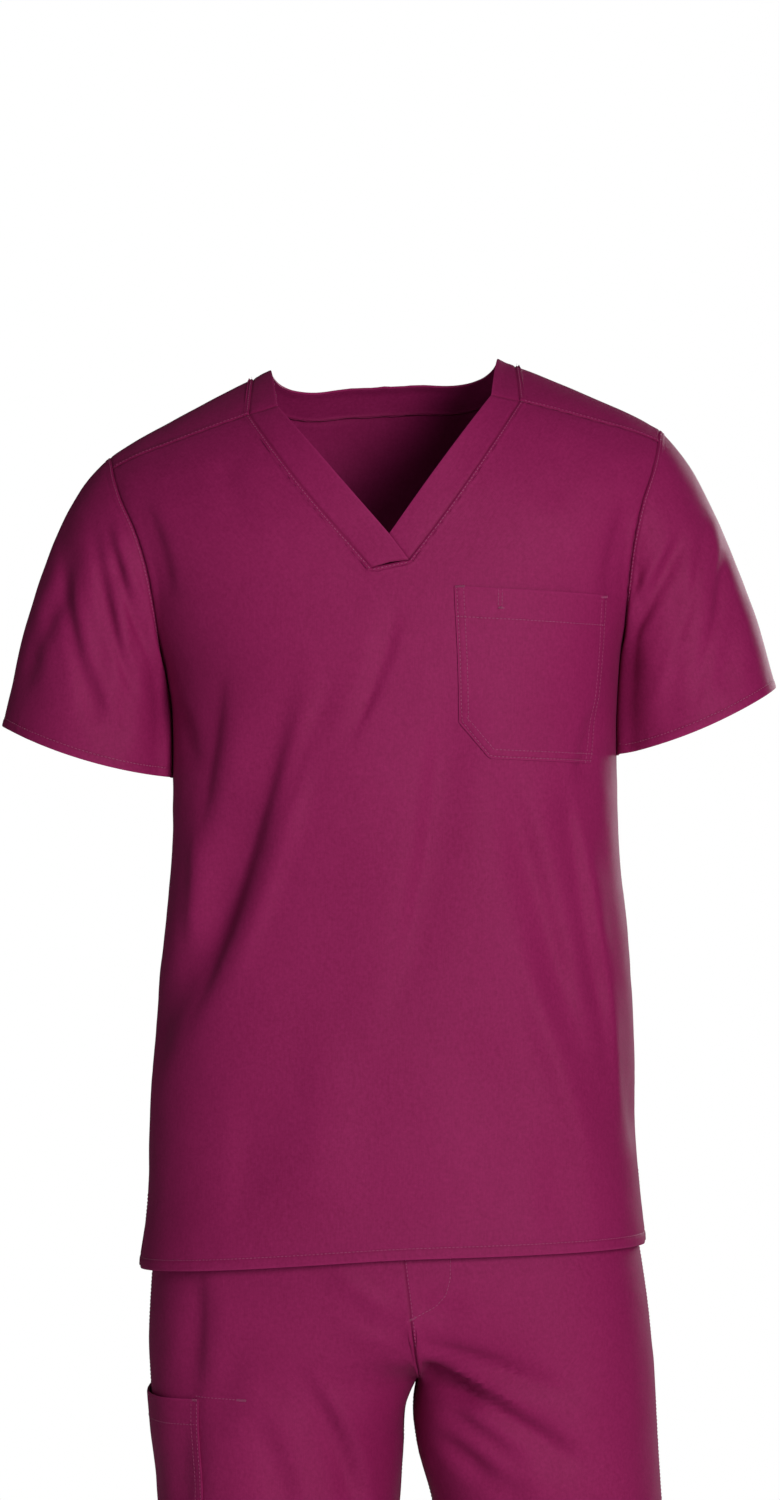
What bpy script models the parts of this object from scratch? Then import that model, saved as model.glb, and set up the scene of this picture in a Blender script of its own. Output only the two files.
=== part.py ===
"""Medical scrubs: a V-neck top and trousers in their worn form, hollow, with no wearer.

All lengths are metres. +Z is up, the front faces -Y and the wearer's left is +X. The origin lies
between the two points where the neckline crosses the shoulders. Shapes are worked out in an upright
figure frame, symmetric for the top, and stand() then sets them into the standing pose.
"""
import math
from collections import namedtuple

import bpy
import numpy as np

# Cloth and seams.
WALL = 0.0014
SEAM_GAP = 0.0003
LAYER_GAP = 0.0006
POCKET_GAP = 0.0011
CLOTH_COLOUR = (0.231, 0.0185, 0.089, 1.0)
CLOTH_ROUGHNESS = 0.72

# Steps over which slopes are measured.
SMALL_STEP = 1e-5
LEG_SMALL_STEP = 1e-4

# Pose: the shoulders and hips tilt, the wearer's left side is the higher one.
TILT = 0.05

# Shoulders: how the front and back fall away from the ridge along the shoulder.
RIDGE_Y = 0.010
ROLL_DEPTH = 0.165
ROLL_DEPTH_TIP = 0.085
ROLL_POWER = 2.2
ROLL_ROUND = 1.3
OVER_POWER = 1.3
NEAR_RIDGE = 0.05
TORSO_MIDDLE_Z = -0.12

# Top: hem, underarm and shoulder levels, and the half widths of the neck.
HEM_Z = -0.7135
HEM_FRONT_LIFT = 0.0085
HEM_BACK_LIFT = -0.005
HEM_CURVE_POWER = 1.5
UNDERARM_Z = -0.245
TIP_X = 0.2205
SEAM_TIP_X = 0.2175
SEAM_TIP_DROP = 0.0125
NECK_SEAM_X = 0.105
NECK_SEAM_FRONT_X = 0.107
NECK_EDGE_X = 0.091
NECK_EDGE_FRONT_X = 0.0844
NECK_SEAM_REACH = 0.506
NECK_EDGE_REACH = 0.375
SEAM_DROP_NECK = 0.0315
EDGE_DROP_NECK = 0.037

# V neckline: the lapped band ends in a short sloping bottom.
V_BOTTOM_Z = -0.1655
V_BOTTOM_HALF = 0.0143
V_BOTTOM_SLOPE = 0.16
V_TIP_Z = -0.142
V_BOW = 0.0035

# Trousers.
WAIST_Z = -0.575
WAISTBAND_Z = -0.615
FORK_TOP_Z = -0.730
FORK_POWER = 4
CROTCH_Z = -0.811
SPLIT_TOP_Z = -0.700
SPLIT_END_Z = -0.900
SPLIT_HOLD_START = 0.45
SPLIT_HOLD_END = 0.95
LEG_FOLD_FADE = 6

# Grids: rows and columns of the panels.
HALF_COLUMNS = 9
NECK_COLUMNS = 5
BODY_ROWS = 14
CHEST_ROWS = 3
ARMHOLE_SHARES = (0.0, 0.03, 0.11, 0.24, 0.38, 0.52, 0.66, 0.80, 0.91, 1.0)
FLAP_ROWS = 2
SLEEVE_SHARES = (0.0, 0.035, 0.09, 0.17, 0.27, 0.38, 0.49, 0.60, 0.71, 0.81, 0.91, 1.0)
LEG_COLUMNS = 10
LEG_ROW_Z = (-0.6153, -0.645, -0.676, -0.704, -0.730, -0.751, -0.769, -0.783, -0.794, -0.802, -0.808,
             -0.811, -0.819, -0.833, -0.853, -0.880, -0.915, -0.960, -1.010, -1.070, -1.130, -1.190,
             -1.255, -1.325, -1.400, -1.470, -1.535, -1.597)

# Chest pocket on the wearer's left, corners as x and z in the figure frame.
POCKET_TOP_IN = (0.0487, -0.1856)
POCKET_TOP_OUT = (0.1690, -0.1970)
POCKET_BOTTOM_OUT = (0.1550, -0.3280)
POCKET_BOTTOM_IN = (0.0503, -0.3180)
POCKET_CLIP_ACROSS = 0.22
POCKET_CLIP_UP = 0.20
POCKET_COLUMNS = (0.0, 0.11, 0.22, 0.35, 0.48, 0.61, 0.74, 0.87, 1.0)
POCKET_ROWS = 9

# Cargo pocket, astride the wearer's right outseam.
CARGO_TOP_Z = -0.811
CARGO_BOTTOM_Z = -1.010
CARGO_COLUMNS = 3

TorsoLevel = namedtuple("TorsoLevel", "z half_width front back power centre")
TORSO = (
    TorsoLevel(-0.720, 0.2000, 0.118, 0.1225, 2.5, 0.0068),
    TorsoLevel(-0.640, 0.1955, 0.117, 0.1185, 2.5, 0.0072),
    TorsoLevel(-0.560, 0.1935, 0.116, 0.1120, 2.5, 0.0075),
    TorsoLevel(-0.480, 0.1875, 0.117, 0.1080, 2.5, 0.0083),
    TorsoLevel(-0.400, 0.1800, 0.120, 0.1110, 2.4, 0.0088),
    TorsoLevel(-0.330, 0.1775, 0.123, 0.1160, 2.4, 0.0088),
    TorsoLevel(-0.245, 0.1820, 0.124, 0.1200, 2.4, 0.0078),
    TorsoLevel(-0.190, 0.1990, 0.121, 0.1190, 2.4, 0.0058),
    TorsoLevel(-0.150, 0.2130, 0.117, 0.1150, 2.4, 0.0045),
    TorsoLevel(-0.100, 0.2310, 0.112, 0.1090, 2.4, 0.0020),
    TorsoLevel(-0.060, 0.2420, 0.110, 0.1060, 2.4, 0.0008),
    TorsoLevel(0.020, 0.2520, 0.108, 0.1040, 2.4, 0.0000),
    TorsoLevel(0.060, 0.2520, 0.108, 0.1040, 2.4, 0.0000),
)

RidgePoint = namedtuple("RidgePoint", "x z")
SHOULDER_RIDGE = (
    RidgePoint(0.000, 0.0340),
    RidgePoint(0.030, 0.0300),
    RidgePoint(0.060, 0.0165),
    RidgePoint(0.091, 0.0000),
    RidgePoint(0.130, -0.0180),
    RidgePoint(0.171, -0.0375),
    RidgePoint(0.200, -0.0515),
    RidgePoint(0.221, -0.0645),
    RidgePoint(0.260, -0.0950),
)

ArmholePoint = namedtuple("ArmholePoint", "z front_x back_x")
ARMHOLE = (
    ArmholePoint(-0.245, 0.1820, 0.1820),
    ArmholePoint(-0.234, 0.1835, 0.1842),
    ArmholePoint(-0.190, 0.1872, 0.1915),
    ArmholePoint(-0.150, 0.1935, 0.1985),
    ArmholePoint(-0.125, 0.2005, 0.2050),
    ArmholePoint(-0.100, 0.2105, 0.2125),
    ArmholePoint(-0.080, 0.2165, 0.2180),
    ArmholePoint(-0.060, 0.2205, 0.2205),
)

# Cuff ring of a sleeve: its outer and inner corners, and its front-to-back half depth.
CUFF_OUTER = (0.3085, -0.2750)
CUFF_INNER = (0.1789, -0.3230)
CUFF_HALF_DEPTH = 0.066
CUFF_Y = 0.012
CUFF_DIP = 0.006

# Direction and reach of the cloth where it leaves the armhole and where it meets the cuff.
SleeveAim = namedtuple("SleeveAim", "x y z reach")
SLEEVE_SIDE = SleeveAim(0.60, 0.22, -0.80, 0.60)
SLEEVE_UNDER = SleeveAim(0.60, 0.0, -0.80, 0.45)
SLEEVE_CUFF = SleeveAim(0.24, 0.0, -0.97, 0.85)
SLEEVE_CUFF_UNDER = SleeveAim(0.05, 0.0, -1.0, 0.60)
SLEEVE_FOLD_FADE = 0.15

# The wearer's right arm is held out a little further than the left.
SleevePose = namedtuple("SleevePose", "name hand cuff_out top")
SLEEVE_POSES = (
    SleevePose("sleeve_right", -1, 0.0060, SleeveAim(0.81, 0.0, -0.585, 0.86)),
    SleevePose("sleeve_left", 1, -0.0020, SleeveAim(0.71, 0.0, -0.70, 0.74)),
)

LegLevel = namedtuple("LegLevel", "z outer inner front back middle power")
LEG_RIGHT = (
    LegLevel(-1.600, -0.1570, -0.0110, 0.073, 0.076, 0.020, 2.05),
    LegLevel(-1.400, -0.1570, -0.0120, 0.076, 0.078, 0.012, 2.05),
    LegLevel(-1.200, -0.1610, -0.0090, 0.082, 0.080, 0.002, 2.10),
    LegLevel(-1.100, -0.1660, -0.0040, 0.086, 0.086, 0.003, 2.10),
    LegLevel(-1.000, -0.1720, 0.0040, 0.092, 0.095, 0.006, 2.15),
    LegLevel(-0.905, -0.1775, 0.0128, 0.099, 0.106, 0.010, 2.20),
    LegLevel(-0.867, -0.1805, 0.0152, 0.102, 0.113, 0.010, 2.20),
    LegLevel(-0.830, -0.1850, 0.0184, 0.106, 0.121, 0.010, 2.25),
    LegLevel(-0.811, -0.1865, 0.0270, 0.108, 0.125, 0.010, 2.30),
    LegLevel(-0.780, -0.1880, 0.0240, 0.110, 0.1275, 0.010, 2.35),
    LegLevel(-0.740, -0.1870, 0.0195, 0.112, 0.1234, 0.010, 2.40),
    LegLevel(-0.700, -0.1835, 0.0145, 0.110, 0.1171, 0.010, 2.40),
    LegLevel(-0.660, -0.1740, 0.0110, 0.106, 0.1085, 0.010, 2.40),
    LegLevel(-0.615, -0.1610, 0.0090, 0.100, 0.099, 0.010, 2.35),
    LegLevel(-0.570, -0.1560, 0.0080, 0.098, 0.094, 0.010, 2.30),
)
LEG_LEFT = (
    LegLevel(-1.600, 0.2720, 0.1260, 0.073, 0.076, 0.020, 2.05),
    LegLevel(-1.400, 0.2550, 0.1080, 0.076, 0.078, 0.012, 2.05),
    LegLevel(-1.200, 0.2405, 0.0860, 0.082, 0.080, 0.002, 2.10),
    LegLevel(-1.100, 0.2340, 0.0710, 0.086, 0.086, 0.003, 2.10),
    LegLevel(-1.000, 0.2280, 0.0550, 0.092, 0.095, 0.006, 2.15),
    LegLevel(-0.905, 0.2213, 0.0372, 0.099, 0.106, 0.010, 2.20),
    LegLevel(-0.867, 0.2190, 0.0270, 0.102, 0.113, 0.010, 2.20),
    LegLevel(-0.830, 0.2170, 0.0240, 0.106, 0.121, 0.010, 2.25),
    LegLevel(-0.811, 0.2155, 0.0270, 0.108, 0.125, 0.010, 2.30),
    LegLevel(-0.780, 0.2130, 0.0240, 0.110, 0.1275, 0.010, 2.35),
    LegLevel(-0.740, 0.2080, 0.0195, 0.112, 0.1234, 0.010, 2.40),
    LegLevel(-0.700, 0.2010, 0.0145, 0.110, 0.1171, 0.010, 2.40),
    LegLevel(-0.660, 0.1900, 0.0110, 0.106, 0.1085, 0.010, 2.40),
    LegLevel(-0.615, 0.1760, 0.0090, 0.100, 0.099, 0.010, 2.35),
    LegLevel(-0.570, 0.1700, 0.0080, 0.098, 0.094, 0.010, 2.30),
)

# Folds: a straight axis from one point to another, with the reach and depth of its trough.
# A negative depth is a ridge.
Fold = namedtuple("Fold", "garment x0 y0 z0 x1 y1 z1 reach depth")
FOLDS = (
    Fold("top", -0.120, -0.100, -0.390, -0.182, -0.030, -0.520, 0.026, 0.007),
    Fold("top", -0.135, -0.085, -0.350, -0.150, -0.080, -0.430, 0.022, 0.003),
    Fold("top", 0.150, -0.080, -0.370, 0.176, -0.070, -0.500, 0.024, 0.006),
    Fold("top", 0.176, -0.070, -0.500, 0.196, -0.020, -0.610, 0.024, 0.005),
    Fold("top", 0.120, -0.105, -0.500, 0.155, -0.095, -0.590, 0.026, 0.003),
    Fold("top", 0.040, -0.115, -0.330, 0.070, -0.115, -0.560, 0.040, 0.003),
    Fold("top", -0.060, -0.115, -0.420, -0.070, -0.115, -0.600, 0.045, 0.003),
    Fold("top", -0.090, 0.110, -0.330, -0.150, 0.080, -0.480, 0.030, 0.006),
    Fold("top", 0.095, 0.110, -0.330, 0.150, 0.085, -0.500, 0.030, 0.006),
    Fold("top", -0.040, 0.115, -0.420, -0.070, 0.115, -0.560, 0.034, 0.005),
    Fold("top", 0.045, 0.115, -0.440, 0.060, 0.115, -0.580, 0.034, 0.005),
    Fold("sleeve_right", 0.262, -0.040, -0.150, 0.285, -0.020, -0.235, 0.013, 0.004),
    Fold("sleeve_right", 0.222, -0.058, -0.160, 0.236, -0.062, -0.262, 0.014, 0.005),
    Fold("sleeve_right", 0.196, -0.060, -0.215, 0.212, -0.060, -0.285, 0.012, 0.005),
    Fold("sleeve_left", 0.270, -0.035, -0.150, 0.262, -0.050, -0.262, 0.014, 0.004),
    Fold("sleeve_left", 0.240, -0.060, -0.140, 0.196, -0.062, -0.235, 0.014, 0.005),
    Fold("sleeve_left", 0.230, -0.060, -0.200, 0.214, -0.060, -0.290, 0.013, 0.004),
    Fold("sleeve", 0.240, 0.075, -0.140, 0.205, 0.075, -0.250, 0.016, 0.005),
    Fold("sleeve", 0.272, 0.060, -0.165, 0.262, 0.070, -0.270, 0.015, 0.004),
    Fold("trousers", 0.040, -0.085, -0.815, 0.130, -0.095, -0.868, 0.014, 0.005),
    Fold("trousers", 0.040, -0.095, -0.795, 0.135, -0.100, -0.818, 0.013, 0.004),
    Fold("trousers", 0.045, -0.075, -0.850, 0.100, -0.085, -0.895, 0.013, 0.004),
    Fold("trousers", -0.065, -0.100, -0.815, -0.025, -0.095, -0.905, 0.018, 0.005),
    Fold("trousers", -0.140, -0.070, -0.740, -0.158, -0.060, -0.880, 0.018, 0.005),
    Fold("trousers", -0.130, -0.070, -1.170, -0.050, -0.075, -1.215, 0.020, 0.005),
    Fold("trousers", 0.115, -0.075, -1.175, 0.205, -0.070, -1.225, 0.020, 0.005),
    Fold("trousers", -0.120, 0.085, -1.190, -0.040, 0.085, -1.165, 0.020, 0.006),
    Fold("trousers", 0.120, 0.085, -1.165, 0.210, 0.085, -1.200, 0.020, 0.006),
    Fold("trousers", -0.130, -0.055, -1.520, -0.045, -0.055, -1.500, 0.018, 0.004),
    Fold("trousers", 0.160, -0.055, -1.490, 0.245, -0.055, -1.515, 0.018, 0.004),
    Fold("trousers", -0.110, 0.130, -0.820, -0.020, 0.125, -0.880, 0.020, 0.0035),
    Fold("trousers", 0.060, 0.125, -0.880, 0.150, 0.130, -0.820, 0.020, 0.0035),
)


def level(rows, column, at, key="z"):
    """Reads a column of a table at any height, on a smooth curve through its rows."""
    keys = np.array([getattr(row, key) for row in rows])
    values = np.array([getattr(row, column) for row in rows])
    slopes = np.gradient(values, keys)
    at = np.clip(np.asarray(at, dtype=float), keys[0], keys[-1])
    low = np.clip(np.searchsorted(keys, at) - 1, 0, len(keys) - 2)
    step = keys[low + 1] - keys[low]
    t = (at - keys[low]) / step
    start = (2 * t**3 - 3 * t**2 + 1) * values[low] + (t**3 - 2 * t**2 + t) * step * slopes[low]
    end = (3 * t**2 - 2 * t**3) * values[low + 1] + (t**3 - t**2) * step * slopes[low + 1]
    return start + end


def mix(first, second, share):
    """Goes from the first value to the second as share goes from 0 to 1."""
    return first + (second - first) * share


def unit(vectors):
    """Gives each vector the length 1."""
    return vectors / np.linalg.norm(vectors, axis=-1, keepdims=True)


def stand(points):
    """Sets points of the top's figure frame into the standing pose."""
    x = points[..., 0] + level(TORSO, "centre", points[..., 2])
    return np.stack([x, points[..., 1], points[..., 2] + TILT * x], axis=-1)


def stand_trousers(points):
    """Tilts points of the trousers, whose tables hold their standing places across."""
    return np.stack([points[..., 0], points[..., 1], points[..., 2] + TILT * points[..., 0]], axis=-1)


def fold_depth(garment, points):
    """Adds up how deep each fold of a garment presses at the given points."""
    depth = np.zeros(points.shape[:-1])
    for fold in FOLDS:
        if fold.garment not in garment:
            continue
        start = np.array([fold.x0, fold.y0, fold.z0])
        along = np.array([fold.x1, fold.y1, fold.z1]) - start
        share = np.clip((points - start) @ along / (along @ along), 0.0, 1.0)
        distance = np.linalg.norm(points - start - share[..., None] * along, axis=-1)
        depth += fold.depth * np.exp(-(distance / fold.reach) ** 2)
    return depth


# --- the top's surface -----------------------------------------------------------------------

def ridge_z(x):
    """Height of the shoulder ridge at a distance from the centre."""
    return level(SHOULDER_RIDGE, "z", np.abs(x), key="x")


def roll(x, drop):
    """Share of the full depth that the cloth has reached at a drop below the ridge."""
    outward = np.clip(np.abs(x) / TIP_X, 0.0, 1.0) ** 2
    share = np.clip(drop / mix(ROLL_DEPTH, ROLL_DEPTH_TIP, outward), 0.0, 1.0)
    return (1.0 - (1.0 - share) ** ROLL_POWER) ** (1.0 / ROLL_ROUND)


def torso_x(angle, z):
    """Distance across at an angle from the centre line, 90 degrees at the side seam."""
    reach = np.abs(np.sin(angle)) ** (2.0 / level(TORSO, "power", z))
    return level(TORSO, "half_width", z) * np.sign(angle) * reach


def torso_angle(x, z):
    """Angle from the centre line of a place across, the inverse of torso_x."""
    share = np.clip(np.abs(x) / level(TORSO, "half_width", z), 0.0, 1.0)
    return np.sign(x) * np.arcsin(share ** (level(TORSO, "power", z) / 2.0))


def torso(x, z, side):
    """Point of the top's outside, where side is -1 on the front and 1 on the back."""
    x, z, side = np.broadcast_arrays(x, z, side)
    power = level(TORSO, "power", z)
    share = np.clip(np.abs(x) / level(TORSO, "half_width", z), 0.0, 1.0)
    across = (1.0 - share**power) ** (1.0 / power)
    depth = np.where(side < 0, level(TORSO, "front", z), level(TORSO, "back", z))
    y = RIDGE_Y + side * depth * across * roll(x, ridge_z(x) - z)
    return np.stack([x, y, z], axis=-1)


def over(x, path):
    """Point along the way over the shoulder, path 0 on the ridge and growing to the front."""
    z = ridge_z(x) - ROLL_DEPTH * np.abs(path) ** OVER_POWER
    return torso(x, z, np.where(path > 0, -1.0, 1.0))


def path_of(drop):
    """Length of path, as over() counts it, that a drop below the ridge takes."""
    return (np.maximum(drop, 0.0) / ROLL_DEPTH) ** (1.0 / OVER_POWER)


def torso_normal(x, z, side):
    """Direction out of the cloth of the top at a point."""
    x, z, side = np.broadcast_arrays(x, z, side)
    angle = torso_angle(x, z)
    inward = angle - np.where(angle >= 0, SMALL_STEP, -SMALL_STEP)
    along = torso(torso_x(inward, z), z, side) - torso(torso_x(angle, z), z, side)
    upward = torso(torso_x(angle, z + SMALL_STEP), z + SMALL_STEP, side)
    upward = upward - torso(torso_x(angle, z - SMALL_STEP), z - SMALL_STEP, side)
    drop = ridge_z(x) - z
    path = -side * path_of(drop)
    ridge_along = over(x + SMALL_STEP, path) - over(x - SMALL_STEP, path)
    ridge_up = over(x, path + np.where(side < 0, SMALL_STEP, -SMALL_STEP)) - over(x, path)
    near_ridge = (drop < NEAR_RIDGE)[..., None]
    normal = np.where(near_ridge, np.cross(ridge_along, ridge_up), np.cross(along, upward))
    outward = torso(x, z, side) - np.array([0.0, RIDGE_Y, TORSO_MIDDLE_Z])
    outward[..., 2] = np.where(drop < NEAR_RIDGE, np.abs(outward[..., 2]), 0.0)
    normal = unit(normal)
    flip = np.sign(np.sum(normal * outward, axis=-1, keepdims=True))
    return normal * np.where(flip == 0, 1.0, flip)


def top_walls(x, z, side, lift=0.0):
    """Outer and inner wall points of the top, in the figure frame."""
    base = torso(x, z, side)
    normal = torso_normal(x, z, side)
    outer = base + normal * (lift - fold_depth("top", base))[..., None]
    return outer, outer - normal * WALL


def armhole_x(z, side):
    """Distance across of the armhole edge at a height."""
    front = level(ARMHOLE, "front_x", z)
    back = level(ARMHOLE, "back_x", z)
    return np.minimum(np.where(side < 0, front, back), level(TORSO, "half_width", z))


def hem_z(share, side):
    """Height of the top's hem from the centre, share 0, to the side seam, share 1."""
    lift = np.where(side < 0, HEM_FRONT_LIFT, HEM_BACK_LIFT)
    return HEM_Z + lift * np.cos(share * math.pi / 2) ** HEM_CURVE_POWER


def neck_seam_z(x):
    """Height of the back neckline of the back panel."""
    share = np.clip(np.abs(x) / NECK_SEAM_X, 0.0, 1.0)
    return ridge_z(x) - ROLL_DEPTH * (NECK_SEAM_REACH * np.sqrt(1.0 - share**2)) ** OVER_POWER


def shoulder_seam_z(x):
    """Height of the forward shoulder seam, on the front."""
    share = (np.abs(x) - NECK_SEAM_FRONT_X) / (SEAM_TIP_X - NECK_SEAM_FRONT_X)
    return ridge_z(x) - mix(SEAM_DROP_NECK, SEAM_TIP_DROP, share)


def v_seam(z, hand):
    """Distance across of the V seam between panel and band, for one side of the V."""
    bottom = V_BOTTOM_Z + hand * V_BOTTOM_SLOPE * V_BOTTOM_HALF
    top = shoulder_seam_z(NECK_SEAM_FRONT_X)
    share = (z - bottom) / (top - bottom)
    return hand * (mix(V_BOTTOM_HALF, NECK_SEAM_FRONT_X, share) + V_BOW * np.sin(math.pi * share))


# --- panels of the top as places on that surface ----------------------------------------------

def front_grid():
    """Places across and heights of the front panel's grid, with no centre above the V."""
    seam_tip_z = shoulder_seam_z(SEAM_TIP_X)
    hem_to_underarm = np.linspace(0.0, 1.0, BODY_ROWS + 1)
    armhole = np.array(ARMHOLE_SHARES[1:])
    side_z = np.concatenate([mix(HEM_Z, UNDERARM_Z, hem_to_underarm),
                             mix(UNDERARM_Z, seam_tip_z, armhole)])
    neck_z = shoulder_seam_z(NECK_SEAM_FRONT_X)
    rows = len(side_z)
    halves = []
    for hand in (-1, 1):
        bottom = V_BOTTOM_Z + hand * V_BOTTOM_SLOPE * V_BOTTOM_HALF
        level_z = hem_z(0.0, -1)
        low = mix(level_z, UNDERARM_Z, hem_to_underarm[:-1])
        chest = mix(UNDERARM_Z, bottom, np.linspace(0.0, 1.0, CHEST_ROWS + 1))
        neck = mix(bottom, neck_z, np.linspace(0.0, 1.0, rows - len(low) - CHEST_ROWS))
        centre_z = np.concatenate([low, chest[:-1], neck])
        x = np.zeros((rows, HALF_COLUMNS))
        z = np.zeros((rows, HALF_COLUMNS))
        shares = np.linspace(0.0, 1.0, HALF_COLUMNS)
        top_x = mix(NECK_SEAM_FRONT_X, SEAM_TIP_X, shares)
        weight = (shoulder_seam_z(top_x) - neck_z) / (seam_tip_z - neck_z)
        for row in range(rows):
            z_row = mix(centre_z[row], side_z[row], weight)
            if row < BODY_ROWS:
                z_row = mix(centre_z[row], side_z[row], shares)
            if side_z[row] <= UNDERARM_Z:
                edge = level(TORSO, "half_width", side_z[row])
            else:
                edge = armhole_x(side_z[row], -1)
            if centre_z[row] > bottom:
                start = abs(v_seam(centre_z[row], hand))
            else:
                start = V_BOTTOM_HALF
            first = torso_angle(start, z_row[0])
            last = torso_angle(edge, z_row[-1])
            angle_x = torso_x(mix(first, last, shares), z_row)
            upper = np.clip((row - BODY_ROWS) / (rows - 1 - BODY_ROWS), 0.0, 1.0)
            x_row = mix(angle_x, mix(start, edge, shares), upper)
            if row == rows - 1:
                x_row = top_x
                z_row = shoulder_seam_z(top_x)
            x[row] = hand * x_row
            z[row] = z_row
        halves.append((x, z))
    (left_x, left_z), (right_x, right_z) = halves
    centre_x = np.zeros((rows, 1))
    centre_z = (left_z[:, :1] + right_z[:, :1]) / 2
    centre_x[BODY_ROWS + CHEST_ROWS + 1:] = np.nan
    x = np.hstack([left_x[:, ::-1], centre_x, right_x])
    z = np.hstack([left_z[:, ::-1], centre_z, right_z])
    return x, z


def back_grid():
    """Places across, heights and sides of the back panel, up to and over the shoulders."""
    outer_columns = HALF_COLUMNS - 1
    hem_to_underarm = np.linspace(0.0, 1.0, BODY_ROWS + 1)
    tip_z = ridge_z(TIP_X)
    side_z = np.concatenate([mix(HEM_Z, UNDERARM_Z, hem_to_underarm),
                             mix(UNDERARM_Z, tip_z, np.array(ARMHOLE_SHARES[1:]))])
    upper_shares = np.linspace(0.0, 1.0, len(ARMHOLE_SHARES))[1:]
    centre_z = np.concatenate([mix(hem_z(0.0, 1), UNDERARM_Z, hem_to_underarm),
                               mix(UNDERARM_Z, neck_seam_z(0.0), upper_shares)])
    neck = np.sin(np.linspace(0.0, 1.0, NECK_COLUMNS + 1) * math.pi / 2) * NECK_SEAM_X
    beyond = np.linspace(0.0, 1.0, outer_columns + 1)[1:]
    ridge_x = np.concatenate([neck, mix(NECK_SEAM_X, TIP_X, beyond)])
    ridge_row_z = np.concatenate([neck_seam_z(neck), ridge_z(ridge_x[NECK_COLUMNS + 1:])])
    weight = (ridge_row_z - ridge_row_z[0]) / (ridge_row_z[-1] - ridge_row_z[0])
    rows = len(side_z)
    x = np.full((rows + FLAP_ROWS, len(ridge_x)), np.nan)
    z = np.full_like(x, np.nan)
    side = np.ones_like(x)
    for row in range(rows):
        upper = np.clip((row - BODY_ROWS) / (rows - 1 - BODY_ROWS), 0.0, 1.0)
        low_share = ridge_x / ridge_x[-1]
        z_row = mix(centre_z[row], side_z[row], mix(low_share, weight, upper))
        edge = level(TORSO, "half_width", side_z[row])
        if side_z[row] > UNDERARM_Z:
            edge = armhole_x(side_z[row], 1)
        first = torso_angle(NECK_SEAM_X, z_row[NECK_COLUMNS])
        last = torso_angle(edge, z_row[-1])
        outside = torso_x(mix(first, last, beyond), z_row[NECK_COLUMNS + 1:])
        outside = mix(outside, mix(NECK_SEAM_X, edge, beyond), upper)
        x[row] = np.concatenate([neck, outside])
        z[row] = z_row
    x[rows - 1] = ridge_x
    z[rows - 1] = ridge_row_z
    seam_x = mix(NECK_SEAM_FRONT_X, SEAM_TIP_X, np.linspace(0.0, 1.0, outer_columns + 1))
    seam_path = path_of(ridge_z(seam_x) - shoulder_seam_z(seam_x))
    for flap in range(1, FLAP_ROWS + 1):
        share = flap / FLAP_ROWS
        flap_x = mix(ridge_x[NECK_COLUMNS:], seam_x, share)
        drop = ROLL_DEPTH * (seam_path * share) ** OVER_POWER
        x[rows - 1 + flap, NECK_COLUMNS:] = flap_x
        z[rows - 1 + flap, NECK_COLUMNS:] = ridge_z(flap_x) - drop
        side[rows - 1 + flap] = -1.0
    x = np.hstack([-x[:, :0:-1], x])
    z = np.hstack([z[:, :0:-1], z])
    side = np.hstack([side[:, :0:-1], side])
    return x, z, side


def pull(outer, inner, edge, inside):
    """Draws an edge of a panel half a seam gap towards its inner neighbours."""
    shift = unit(outer[inside] - outer[edge]) * SEAM_GAP / 2
    outer[edge] = outer[edge] + shift
    inner[edge] = inner[edge] + shift


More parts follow.
